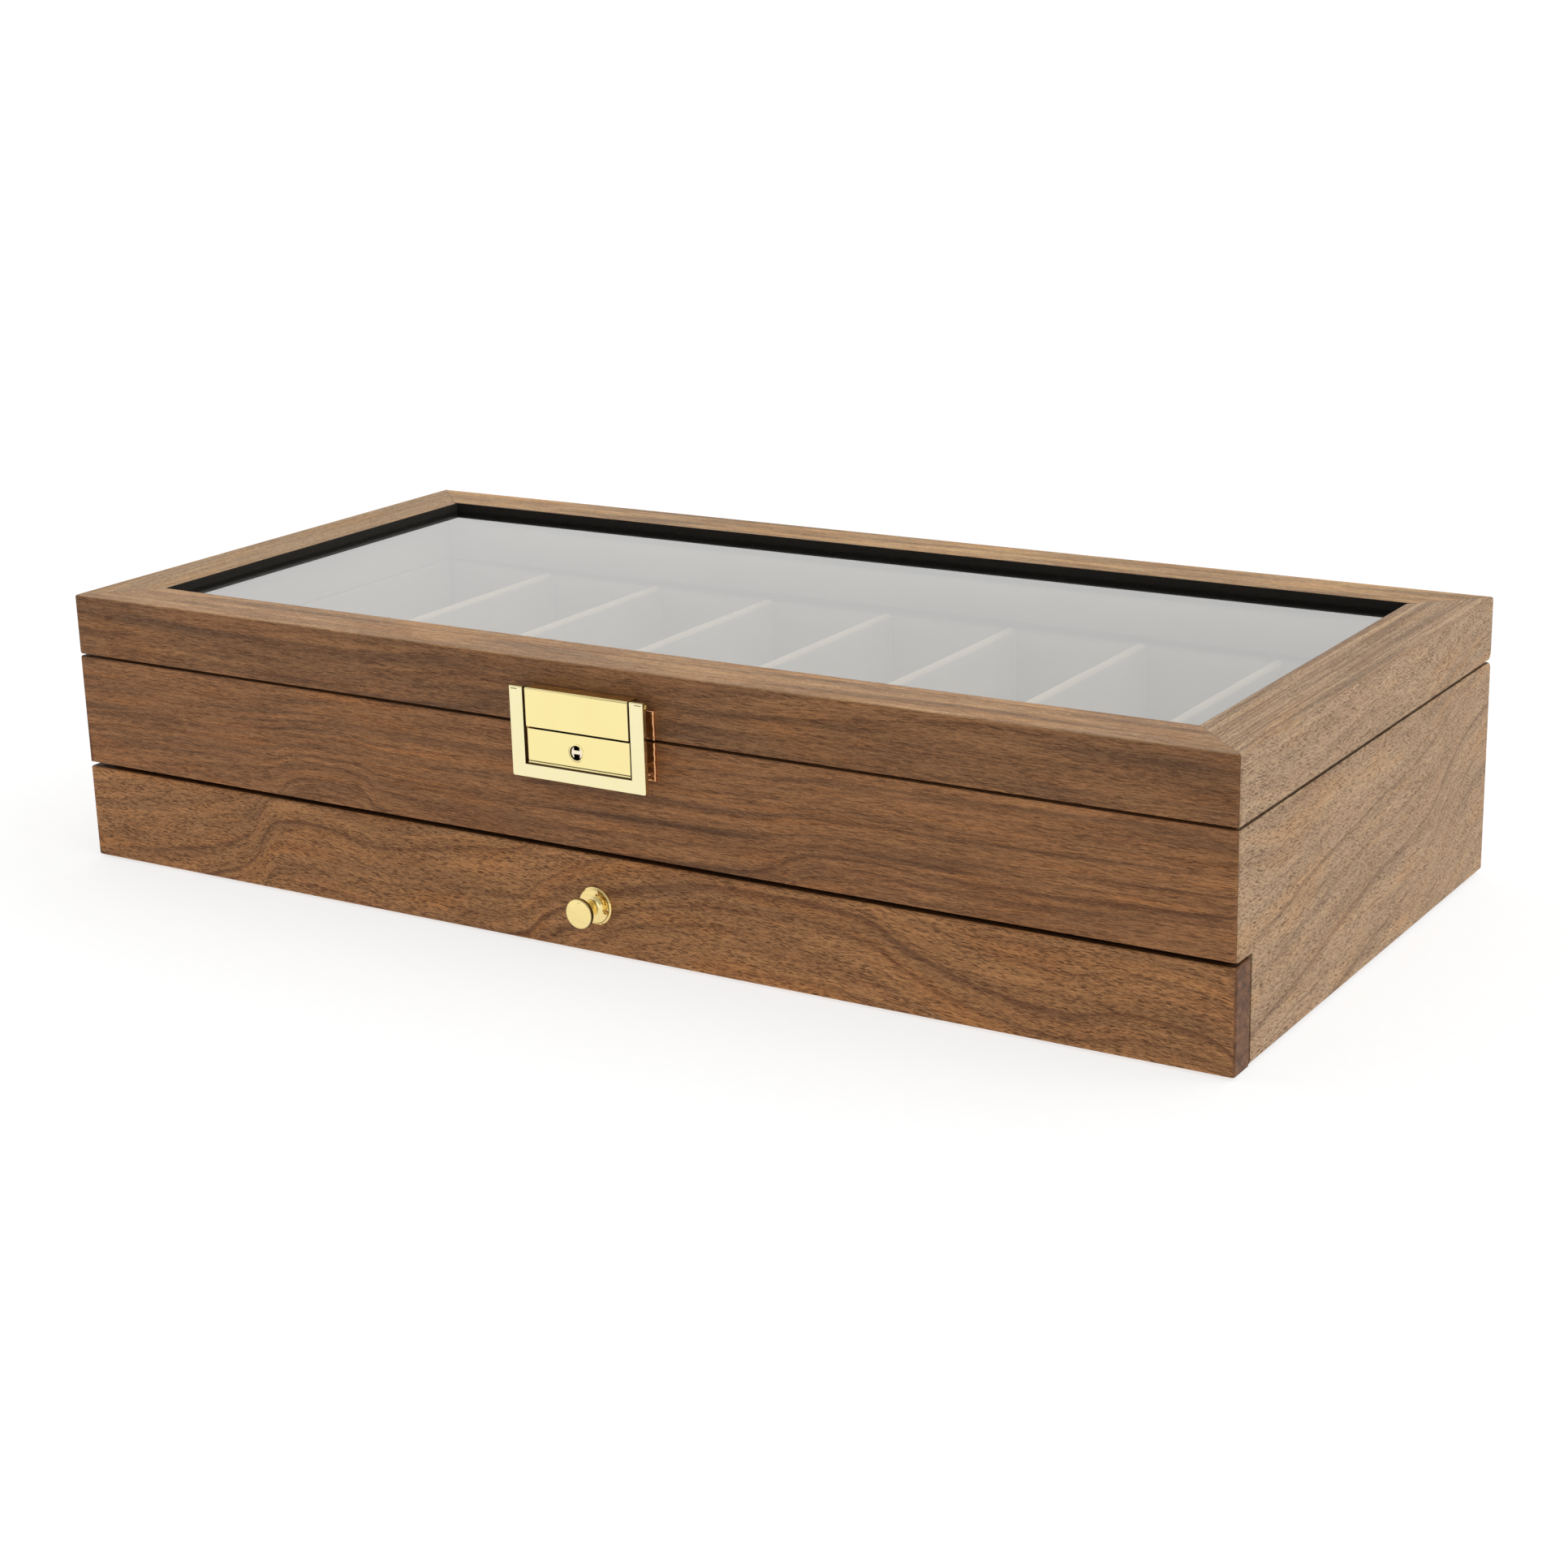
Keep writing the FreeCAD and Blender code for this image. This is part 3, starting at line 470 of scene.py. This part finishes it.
wear("lid_rail_back", walnut("walnut_lid_back", "X", 2.7, L1, D1, P1, tint=(1.10, 1.05, 0.95), top=True, top_painted_light=(1.81, 2.25, 2.46), streaky=0.5,
                             warp=4.0, period=7.0, paint=rebate("B"), **FRONT))
wear("lid_rail_left", walnut("walnut_lid_left", "Y", 3.9, L3, D3, P3, warp=4.0, top=True, tint=(1.05, 1.05, 0.97), streaky=0.4, paint=rebate("X"), **SIDE))
wear("lid_rail_right", walnut("walnut_lid_right", "Y", 5.2, L3, D3, P3, top=True, tint=(0.97, 1.005, 1.058), top_painted_light=(1.09, 1.08, 1.065), streaky=1.3,
                              paint=rebate("X"), **SIDE, **RIGHT))
wear("front_panel", walnut("walnut_front", "X", 6.1, L1, D1, P1, tint=(1.19, 1.056, 0.876), slope=-0.03, warp=3.0, period=7.5,
                           path=((-200, 32), (-140, 33), (-121, 35), (-105, 42), (-92, 42), (-80, 36), (-50, 34), (0, 33), (45, 33), (68, 40),
                                 (88, 44), (110, 41), (150, 40), (200, 45)),
                           fade=(38, 66, 0.2), marks=((0.0, 2.0, 0.4), (6.0, 2.2, 0.22), (14.0, 2.8, 0.25), (-5.0, 1.6, 0.25)),
                           paint=front_paint, **FRONT))
wear("back_panel", walnut("walnut_back", "X", 7.4, L1, D1, P1, tint=(1.2, 1.15, 1.07), warp=7.0, period=8.0, paint=inner_face("Y"), **FRONT))
wear("side_panel_left", walnut("walnut_left", "Y", 8.3, L3, D3, P3, tint=(1.08, 1.10, 1.05), slope=0.12, warp=6.0, ripple=0.9, period=11.0,
                               paint=inner_face("X"), **SIDE))
wear("side_panel_right", walnut("walnut_right", "Y", 5.2, L3, D3, P3, tint=(0.969, 0.988, 1.016), paint=inner_face("X"), **SIDE, **RIGHT))
wear("drawer_front", walnut("walnut_drawer", "X", 9.6, L2, D2, P2, tint=(1.057, 0.972, 0.843), slope=0.0, warp=2.0, ripple=0.8, line=0.22,
                            period=8.0, cloud=0.7, smudge=0.40, streak=0.40, fine=0.75, curl=0.8,
                            path=((-200, -6), (-175, -3), (-149, 2), (-132, 9), (-126, 19), (-118, 24), (-102, 24), (-83, 20.5), (-62, 23),
                                  (-49, 26), (-29, 28), (-20, 34), (5, 46), (17, 50), (50, 55), (84, 54), (104, 46), (125, 39), (150, 36), (175, 39), (200, 33)),
                            marks=((0.0, 1.5, 0.85), (-26.5, 2.6, 0.75), (-3.2, 0.9, 0.35), (-15.0, 1.2, 0.25), (-33.0, 1.8, 0.3), (9.0, 1.3, 0.25)),
                            pore=(2.8, 0.28, 0.78, 0.85), bold=(2.5, 0.38, 0.46, 1.0), paint=drawer_paint))


# --------------------------------------------------------------- other woods
def plain_wood(name, grain, light, dark, seed, lined=None):
    t = Tree(name)
    _, x, y, z = t.position()
    a, c, d = (x, z, y) if grain == "X" else (y, z, x)
    v = t.noise(t.xyz(t.madd(a, 5.0, seed), t.mul(c, 160.0), t.mul(d, 160.0)), 1.0, 5.0, 0.6)
    w = t.noise(t.xyz(t.mul(a, 60.0), t.mul(c, 1500.0), t.mul(d, 1500.0)), 1.0, 2.0, 0.6)
    f = t.madd(t.sub(w, 0.5), 0.4, v)
    col = t.ramp(f, [(0.3, dark), (0.7, light)])
    if lined:                                  # the upper face is covered in cream fabric
        col = t.mix(t.step(z, lined - 0.0004, lined - 0.0002), col, CREAM)
    t.shader(Base_Color=col, Roughness=t.madd(w, 0.15, 0.5), Normal=t.bump(w, 0.00004, 0.5))
    return t.mat


ply = plain_wood("plywood", "X", srgb(214, 184, 146), srgb(186, 150, 110), 3.0)
poplar_x = plain_wood("poplar_x", "X", srgb(222, 196, 156), srgb(196, 164, 122), 5.0)
poplar_y = plain_wood("poplar_y", "Y", srgb(222, 196, 156), srgb(196, 164, 122), 8.0)
for n in ("base_panel", "drawer_bottom"):
    wear(n, ply)
wear("tray_floor", plain_wood("lined_plywood", "X", srgb(214, 184, 146), srgb(186, 150, 110), 4.0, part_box("tray_floor")[1][2]))
for n in ("drawer_back", "drawer_stop"):
    wear(n, poplar_x)
for n in ("drawer_side_left", "drawer_side_right"):
    wear(n, poplar_y)


# -------------------------------------------------------------------- fabric
def velvet(name, base, shade, nap=0.00010, sheen=0.35, edge=None, low_painted_light=1.0):
    t = Tree(name)
    o, x, y, z = t.position()
    fine = t.noise(o, 2600.0, 3.0, 0.7)
    soft = t.noise(o, 42.0, 3.0, 0.55)
    patch = t.noise(o, 230.0, 2.0, 0.5)
    f = t.madd(t.sub(fine, 0.5), 0.55, t.madd(t.sub(patch, 0.5), 0.35, soft))
    col = t.ramp(f, [(0.25, shade), (0.75, base)])
    if low_painted_light != 1.0:                            # painted light: paler low down, lifting the shade deep in the compartments so that they look even
        col = t.mix(t.step(z, 0.036, 0.064, 1.0, 0.0), col, t.mix(1.0, col, (low_painted_light, low_painted_light * 0.995, low_painted_light * 0.985, 1.0), "MULTIPLY"))
    if edge:                                   # painted light: the top edge is paler, where light falls on the tops of the dividers
        z0, gain = edge
        col = t.mix(t.step(z, z0 - 0.0017, z0 - 0.0006), col, t.mix(1.0, col, gain, "MULTIPLY"))
    h = t.add(t.mul(fine, 0.7), t.mul(patch, 0.3))
    t.shader(Base_Color=col, Roughness=0.92, Normal=t.bump(h, nap, 0.6), Specular_IOR_Level=0.2,
             Sheen_Weight=sheen, Sheen_Roughness=0.4)
    return t.mat


cream = velvet("cream_velvet", srgb(178, 164, 142), srgb(165, 151, 129), low_painted_light=1.30)
cream_lit_edge = velvet("cream_velvet_painted_lit_edge", srgb(178, 164, 142), srgb(165, 151, 129), edge=(0.0656, (1.5, 1.42, 1.30, 1.0)), low_painted_light=1.30)
felt = velvet("dark_felt", srgb(52, 48, 46), srgb(30, 28, 27), 0.00025, 0.15)
mm = 0.001


def cuts(lo, hi, r, cell):
    """Stations along one side: close together over the rounded edge, then even."""
    n = max(1, round((hi - lo - 2 * r) / cell))
    mid = [lo + r + (hi - lo - 2 * r) * i / n for i in range(n + 1)]
    ends = [0.0, 0.30 * r, 0.64 * r]
    return [lo + e for e in ends] + mid + [hi - e for e in reversed(ends)]


def wrapped(name, lo, hi, r, cell, seed, flat_side, puff=0.0, wave=0.0, mat=None):
    """A closed slab of fabric over board or foam, in millimetres: rounded edges, and faces that
    swell towards the middle. flat_side is the side glued down, such as "-z"."""
    stations = [cuts(lo[k], hi[k], r[k], cell[k]) for k in range(3)]
    n = [len(v) - 1 for v in stations]
    index, pts, faces = {}, [], []

    def vert(i, j, k):
        key = (i, j, k)
        if key not in index:
            index[key] = len(pts)
            pts.append([stations[0][i], stations[1][j], stations[2][k]])
        return index[key]

    for k, (p, q) in enumerate(((1, 2), (2, 0), (0, 1))):
        for end in (0, n[k]):
            for i in range(n[p]):
                for j in range(n[q]):
                    quad = []
                    for di, dj in ((0, 0), (1, 0), (1, 1), (0, 1)):
                        key = [0, 0, 0]
                        key[k], key[p], key[q] = end, i + di, j + dj
                        quad.append(vert(*key))
                    faces.append(quad if end else quad[::-1])
    side = "xyz".index(flat_side[1])
    sign = -1 if flat_side[0] == "-" else 1
    thin = side
    u, v = [k for k in range(3) if k != thin]
    for pt in pts:
        core = [min(max(pt[k], lo[k] + r[k]), hi[k] - r[k]) for k in range(3)]
        off = [(pt[k] - core[k]) / r[k] for k in range(3)]
        length = math.sqrt(sum(e * e for e in off))
        if length > 0:
            for k in range(3):
                pt[k] = core[k] + off[k] / length * r[k]
        # the free face stands proud in the middle and the glued one is flat
        h = (pt[thin] - lo[thin]) / (hi[thin] - lo[thin])
        h = h if sign < 0 else 1 - h
        a = 2 * (pt[u] - lo[u]) / (hi[u] - lo[u]) - 1
        b = 2 * (pt[v] - lo[v]) / (hi[v] - lo[v]) - 1
        crown = (1 - abs(a) ** 6) * (1 - abs(b) ** 4)
        w = noise.noise(Vector((pt[u] / 21.0 + seed * 3.7, pt[v] / 17.0, seed * 1.3)))
        w += 0.4 * noise.noise(Vector((pt[u] / 7.0, pt[v] / 6.0 + seed, seed * 2.1)))
        sink = h * (puff * (1 - crown) + wave * (0.5 + 0.5 * w))
        pt[thin] += sink * sign
    me = bpy.data.meshes.new(name)
    me.from_pydata([[c * mm for c in pt] for pt in pts], [], faces)
    me.update()
    me.shade_smooth()
    ob = bpy.data.objects.new(name, me)
    scene.collection.objects.link(ob)
    if mat:
        me.materials.append(mat)
    return ob


def inflate(ob, box_lo, box_hi, pressure, cap, flat_side):
    """Puff the closed cover with Cloth, cap each point's move, keep it inside its space and
    flat on what carries it."""
    start = np.array([v.co[:] for v in ob.data.vertices])
    m = ob.modifiers.new("puff", "CLOTH")
    c = m.settings
    c.quality = 6
    c.mass = 0.2
    c.tension_stiffness = c.compression_stiffness = 12.0
    c.shear_stiffness = 6.0
    c.bending_stiffness = 0.4
    c.use_pressure = True
    c.uniform_pressure_force = pressure
    c.effector_weights.gravity = 0.0
    m.point_cache.frame_start = 1
    m.point_cache.frame_end = 16
    for f in range(1, 17):
        scene.frame_set(f)
    dg = bpy.context.evaluated_depsgraph_get()
    ev = ob.evaluated_get(dg)
    end = np.array([v.co[:] for v in ev.data.vertices])
    ob.modifiers.remove(m)
    scene.frame_set(1)
    move = end - start
    size = np.linalg.norm(move, axis=1, keepdims=True)
    move *= np.minimum(1.0, cap * mm / np.maximum(size, 1e-9))
    co = start + move
    for k in range(3):
        co[:, k] = np.clip(co[:, k], box_lo[k] * mm, box_hi[k] * mm)
    k = "xyz".index(flat_side[1])
    if flat_side[0] == "-":
        down = start[:, k] < start[:, k].min() + 0.05 * mm
        co[down, k] = box_lo[k] * mm
    else:
        down = start[:, k] > start[:, k].max() - 0.05 * mm
        co[down, k] = box_hi[k] * mm
    for v, p in zip(ob.data.vertices, co):
        v.co = p
    s = ob.modifiers.new("smooth", "SUBSURF")
    s.levels = s.render_levels = 1
    dg = bpy.context.evaluated_depsgraph_get()
    me = bpy.data.meshes.new_from_object(ob.evaluated_get(dg))
    ob.modifiers.remove(s)
    old = ob.data
    me.name = old.name
    ob.data = me
    bpy.data.meshes.remove(old)
    return ob


def node_box(n):
    lo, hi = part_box(n)
    return [v * 1000 for v in lo], [v * 1000 for v in hi]


def soft(ob, node, body, fill, slot="cream_velvet"):
    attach(ob, body)
    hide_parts(node)


# foam pads on the floor of the eight compartments, wrapped in velvet
pad_lo, pad_hi = node_box("floor_pads")
walls = [-185.9] + [-139.5 + 46.5 * i for i in range(7)] + [185.9]
for i in range(8):
    x0 = walls[i] + (0.2 if i == 0 else 2.2)
    x1 = walls[i + 1] - (0.2 if i == 7 else 2.2)
    lo, hi = [x0, pad_lo[1] + 0.05, pad_lo[2]], [x1, pad_hi[1] - 0.05, pad_hi[2]]
    pad = wrapped("floor_pad_%d" % (i + 1), [lo[0] + 0.5, lo[1] + 0.5, lo[2] + 0.1], [hi[0] - 0.5, hi[1] - 0.5, hi[2] - 0.9],
                  [1.2, 1.2, 1.2], [3.2, 3.4, 1.0], 3.0 + i, "-z", puff=0.8, wave=0.35, mat=cream)
    inflate(pad, lo, hi, 2.5, 1.3, "-z")
    soft(pad, "floor_pads", "case", 0.8)

# the padded back walls of tray and lid
for node, body, seed in (("lining_back", "case", 21.0), ("lid_lining_back", "lid", 22.0)):
    lo, hi = node_box(node)
    ob = wrapped("padded_" + node, [lo[0] + 0.4, lo[1] + 0.9, lo[2] + 0.15], [hi[0] - 0.4, hi[1] - 0.1, hi[2] - 0.15],
                 [1.2, 1.3, 0.9], [4.2, 2.4, 3.0], seed, "+y", puff=0.7, wave=0.4, mat=cream)
    inflate(ob, lo, hi, 2.0, 1.2, "+y")
    soft(ob, node, body, 0.8)

# thin velvet-covered boards: linings, dividers and the drawer's pad
THIN = [("lining_left", "case", "-x"), ("lining_right", "case", "+x"), ("lining_front", "case", "-y"),
        ("lid_lining_left", "lid", "-x"), ("lid_lining_right", "lid", "+x"), ("lid_lining_front", "lid", "-y")]
for k, (node, body, flat_side) in enumerate(THIN):
    lo, hi = node_box(node)
    r = [0.8, 0.8, 0.8]
    ob = wrapped("covered_" + node, lo, hi, r, [4.0, 4.0, 3.6], 31.0 + k, flat_side, puff=0.25, wave=0.12, mat=cream)
    soft(ob, node, body, 1.0)
for i in range(1, 8):
    node = "divider_%d" % i
    lo, hi = node_box(node)
    ob = wrapped("covered_" + node, lo, hi, [1.9, 0.3, 1.9], [1.0, 3.4, 3.2], 40.0 + i, "-z", puff=0.0, wave=0.18, mat=cream_lit_edge)
    me = ob.data
    for v in me.vertices:                      # the sides are drawn in a little between the ends
        x, y, z = (c * 1000 for c in v.co)
        xc = (lo[0] + hi[0]) / 2
        b = 2 * (y - lo[1]) / (hi[1] - lo[1]) - 1
        w = noise.noise(Vector((y / 19.0, z / 11.0, i * 5.1 + (7.7 if x > xc else 0.0))))
        draw = 1 - 0.07 * (1 - b ** 4) - 0.04 * (0.5 + 0.5 * w)
        v.co.x = (xc + (x - xc) * draw) * mm
    me.update()
    soft(ob, node, "case", 1.0)
lo, hi = node_box("drawer_pad")
ob = wrapped("drawer_lining_pad", lo, hi, [0.6, 0.6, 0.55], [4.5, 4.5, 1.0], 51.0, "-z", puff=0.15, wave=0.30, mat=cream)
soft(ob, "drawer_pad", "drawer", 0.5)
lo, hi = node_box("base_felt")
ob = wrapped("foot_felt", lo, hi, [0.45, 0.45, 0.45], [5.0, 5.0, 1.0], 53.0, "+z", puff=0.0, wave=0.12, mat=felt)
soft(ob, "base_felt", "case", 0.3, "felt")
for n in ["lining_left", "lining_right", "lining_front", "lining_back", "lid_lining_left", "lid_lining_right",
          "lid_lining_front", "lid_lining_back", "floor_pads", "drawer_pad"] + ["divider_%d" % i for i in range(1, 8)]:
    wear(n, cream)
wear("base_felt", felt)


# --------------------------------------------------------------------- brass
GOLD = (0.93, 0.80, 0.385, 1.0)
# painted shade and dark reflections for the brass's gaps, recesses and corners
PAINTED_SHADE = (0.035, 0.018, 0.008, 1.0)


def brass(name, rough, brushed=0.0, base=GOLD, paint=None, ripple=0.0):
    t = Tree(name)
    o, x, y, z = t.position()
    haze = t.noise(o, 90.0, 3.0, 0.6)
    fine = t.noise(o, 1800.0, 2.0, 0.6)
    scratch = t.noise(t.xyz(t.mul(x, 120.0), t.mul(y, 900.0), t.madd(z, 2600.0, t.mul(x, 300.0))), 1.0, 2.0, 0.7)
    col = t.mix(t.step(haze, 0.3, 0.7, 0.0, 0.30), base, (base[0] * 0.97, base[1] * 0.94, base[2] * 0.88, 1.0))
    col = t.mix(t.step(scratch, 0.68, 0.74, 0.0, 0.16), col, (base[0] * 0.80, base[1] * 0.76, base[2] * 0.66, 1.0))
    r = t.madd(t.sub(haze, 0.5), 0.08, rough)
    if paint:
        m = paint(t, *(t.mul(v, 1000.0) for v in (x, y, z)))
        # the paint mask darkens the brass: painted shade
        col = t.mix(m, col, PAINTED_SHADE)
        r = t.madd(m, 0.3, r)
    nrm = t.bump(fine, 0.00001, 0.15 + brushed)
    if ripple:
        wave = t.noise(t.xyz(t.mul(x, 260.0), t.mul(y, 260.0), t.mul(z, 420.0)), 1.0, 2.0, 0.5)
        nrm = t.bump(wave, 0.0012, ripple, nrm)
    t.shader(Base_Color=col, Metallic=1.0, Roughness=r, Normal=nrm)
    return t.mat


def lock_painted_shade(t, x, y, z):
    """Painted shade in the corners of the lock: round its foot, at the seam, inside the keyhole and on its right side.
    """
    off = t.math("POWER", t.add(t.math("POWER", t.add(x, 0.7), 2.0), t.math("POWER", t.sub(z, 62.6), 2.0)), 0.5)
    hole = t.mul(t.step(off, 2.18, 2.26, 1.0, 0.0), t.step(y, -100.40, -100.33))
    arc = t.mul(t.step(t.math("ABSOLUTE", t.sub(off, 2.62)), 0.05, 0.14, 1.0, 0.0), t.step(t.add(x, z), 60.6, 62.0, 0.75, 0.0))
    foot = t.step(t.math("ABSOLUTE", t.sub(z, 58.28)), 0.12, 0.22, 0.9, 0.0)
    sole = t.step(z, 57.40, 57.55, 1.0, 0.0)
    head = t.step(z, 67.86, 67.92)
    side = t.step(x, 17.80, 17.92, 0.0, 0.85)
    m = t.math("MAXIMUM", t.math("MAXIMUM", foot, sole), t.math("MAXIMUM", head, side))
    return t.math("MAXIMUM", t.math("MAXIMUM", hole, arc), m)


def cover_painted_shade(t, x, y, z):
    # painted shade at the cover's foot and right side, and a painted dark crease near its top, heavier to the right
    foot = t.step(z, 68.60, 68.68, 1.0, 0.0)
    side = t.step(x, 17.80, 17.92, 0.0, 0.8)
    crease = t.mul(t.step(t.math("ABSOLUTE", t.sub(z, 79.62)), 0.05, 0.13, 0.75, 0.0), t.step(x, -8.0, 12.0, 0.25, 1.0))
    return t.math("MAXIMUM", t.math("MAXIMUM", foot, side), t.mul(crease, t.step(y, -100.7, -100.6, 1.0, 0.0)))


def flap_painted_shade(t, x, y, z):
    # painted shade beside the inner edge of the right arm, at the bar and on the back face, and a painted dark
    # reflection near the top of each arm
    a = t.math("ABSOLUTE", x)
    inner = t.mul(t.step(a, 18.61, 18.66, 0.85, 0.0), t.mul(t.step(x, -1.0, 1.0, 0.0, 1.0), t.step(z, 57.2, 57.3)))
    bar = t.mul(t.step(z, 57.12, 57.28), t.step(a, 18.62, 18.7, 0.95, 0.0))
    behind = t.step(y, -99.75, -99.45, 0.0, 0.25)
    dent = t.mul(t.step(t.math("ABSOLUTE", t.sub(z, 79.35)), 0.07, 0.17, 1.0, 0.0), t.mul(t.step(a, 20.3, 20.6), t.step(a, 22.5, 22.8, 1.0, 0.0)))
    dent = t.mul(dent, t.step(y, -100.7, -100.6, 0.9, 0.0))
    return t.math("MAXIMUM", t.math("MAXIMUM", inner, bar), t.math("MAXIMUM", behind, dent))


def barrel_painted_shade(t, x, y, z):
    # painted shade in the notch of the keyway and on the barrel's recessed part
    u = t.math("ABSOLUTE", t.add(x, 0.7))
    w = t.math("ABSOLUTE", t.sub(z, 62.75))
    notch = t.mul(t.step(u, 0.98, 1.06, 1.0, 0.0), t.step(w, 0.50, 0.58))
    return t.math("MAXIMUM", notch, t.step(y, -99.98, -99.88))


def knob_painted_shade(t, x, y, z):
    """Painted shade round the rim of the knob, heavier on one side."""
    off = t.math("POWER", t.add(t.math("POWER", x, 2.0), t.math("POWER", t.sub(z, 15.3), 2.0)), 0.5)
    return t.mul(t.step(off, 4.25, 4.5), t.step(t.sub(x, t.sub(z, 15.3)), -3.0, 4.0, 0.45, 0.85))


def rosette_painted_shade(t, x, y, z):
    # painted shade: a dark ring, heavier to the right, and a darker middle round the knob's foot
    off = t.math("POWER", t.add(t.math("POWER", x, 2.0), t.math("POWER", t.sub(z, 15.3), 2.0)), 0.5)
    ring = t.mul(t.step(t.math("ABSOLUTE", t.sub(off, 5.1)), 0.06, 0.20, 0.8, 0.0), t.step(x, -2.0, 2.5, 0.1, 1.0))
    return t.math("MAXIMUM", ring, t.step(off, 2.3, 2.7, 0.35, 0.0))


gold = brass("polished_brass", 0.12)
for n in ("lock_plate_screws", "clasp_plate_screws", "clasp_pin", "hinge_leaf_case_left",
          "hinge_leaf_case_right", "hinge_leaf_lid_left", "hinge_leaf_lid_right", "hinge_pins", "hinge_screws_case",
          "hinge_screws_lid"):
    wear(n, gold)
wear("lock_cover", brass("lock_brass", 0.14, paint=lock_painted_shade))
wear("clasp_cover", brass("cover_brass", 0.14, paint=cover_painted_shade))
wear("clasp_flap", brass("flap_brass", 0.16, base=(0.90, 0.82, 0.50, 1.0), paint=flap_painted_shade))
wear("key_barrel", brass("barrel_brass", 0.20, base=(0.92, 0.80, 0.62, 1.0), paint=barrel_painted_shade))
# the plates are coloured amber: a painted reflection of the walnut round them
wood_reflection_brass = brass("amber_brass_painted_reflection", 0.30, base=(0.86, 0.46, 0.22, 1.0), ripple=0.9)
wear("lock_plate", wood_reflection_brass)
wear("clasp_plate", wood_reflection_brass)
wear("knob", brass("knob_brass", 0.13, 0.25, base=(0.93, 0.76, 0.34, 1.0), paint=knob_painted_shade, ripple=0.30))
wear("knob_rosette", brass("rosette_brass", 0.14, 0.1, base=(0.92, 0.72, 0.31, 1.0), paint=rosette_painted_shade, ripple=0.35))


def steel(name):
    t = Tree(name)
    o, x, y, z = t.position()
    v = t.noise(o, 700.0, 3.0, 0.6)
    col = t.ramp(v, [(0.3, (0.50, 0.51, 0.53, 1)), (0.7, (0.66, 0.66, 0.67, 1))])
    t.shader(Base_Color=col, Metallic=1.0, Roughness=t.madd(v, 0.15, 0.28))
    return t.mat


zinc = steel("zinc_steel")
wear("lock_bolt", zinc)
wear("knob_screw", zinc)


# --------------------------------------------------------------------- glass
def pane_glass():
    t = Tree("clear_glass")
    lw = t.node("ShaderNodeFresnel")
    lw.inputs["IOR"].default_value = 1.52
    geo = t.node("ShaderNodeNewGeometry")
    front = t.sub(1.0, geo.outputs["Backfacing"])
    # both faces of the pane mirror: 2F / (1 + F)
    f = lw.outputs[0]
    two = t.math("DIVIDE", t.mul(f, 2.0), t.add(f, 1.0))
    fac = t.mul(two, front)
    clear = t.node("ShaderNodeBsdfTransparent")
    clear.inputs["Color"].default_value = (0.965, 0.975, 0.972, 1.0)
    gloss = t.node("ShaderNodeBsdfGlossy")
    gloss.inputs["Color"].default_value = (1, 1, 1, 1)
    gloss.inputs["Roughness"].default_value = 0.01
    # a light haze on the pane: a painted reflection of the bright studio, taken off near the back and left walls
    o, x, y, z = t.position()
    veil_wobble = t.noise(t.xyz(t.mul(x, 34.0), t.mul(y, 34.0), 0.3), 1.0, 2.0, 0.5)
    haze = t.node("ShaderNodeBsdfDiffuse")
    haze.inputs["Color"].default_value = (0.41, 0.395, 0.36, 1.0)
    h = t.node("ShaderNodeMixShader")
    veil_off_near_walls = t.mul(t.step(y, 0.0640, 0.0690, 1.0, 0.0), t.step(x, -0.1760, -0.1720))
    t.link(t.mul(t.mul(t.step(veil_wobble, 0.3, 0.7, 0.215, 0.245), veil_off_near_walls), front), h.inputs[0])
    t.link(clear.outputs[0], h.inputs[1])
    t.link(haze.outputs[0], h.inputs[2])
    m = t.node("ShaderNodeMixShader")
    t.link(fac, m.inputs[0])
    t.link(h.outputs[0], m.inputs[1])
    t.link(gloss.outputs[0], m.inputs[2])
    t.link(m.outputs[0], t.out.inputs["Surface"])
    return t.mat


wear("glass_pane", pane_glass())


# --------------------------------------------------------------------- floor
def floor_material():
    t = Tree("floor_white")
    _, x, y, z = t.position()
    v = t.noise(t.xyz(x, y, 0.0), 260.0, 3.0, 0.6)
    col = t.ramp(v, [(0.3, (0.34, 0.34, 0.34, 1.0)), (0.7, (0.36, 0.36, 0.36, 1.0))])
    t.shader(Base_Color=col, Roughness=0.8, Specular_IOR_Level=0.0, Emission_Color=(1.0, 1.0, 1.0, 1.0), Emission_Strength=0.72)
    return t.mat


floor_mesh.materials.append(floor_material())

# --------------------------------------------------------------------- close
lo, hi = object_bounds()
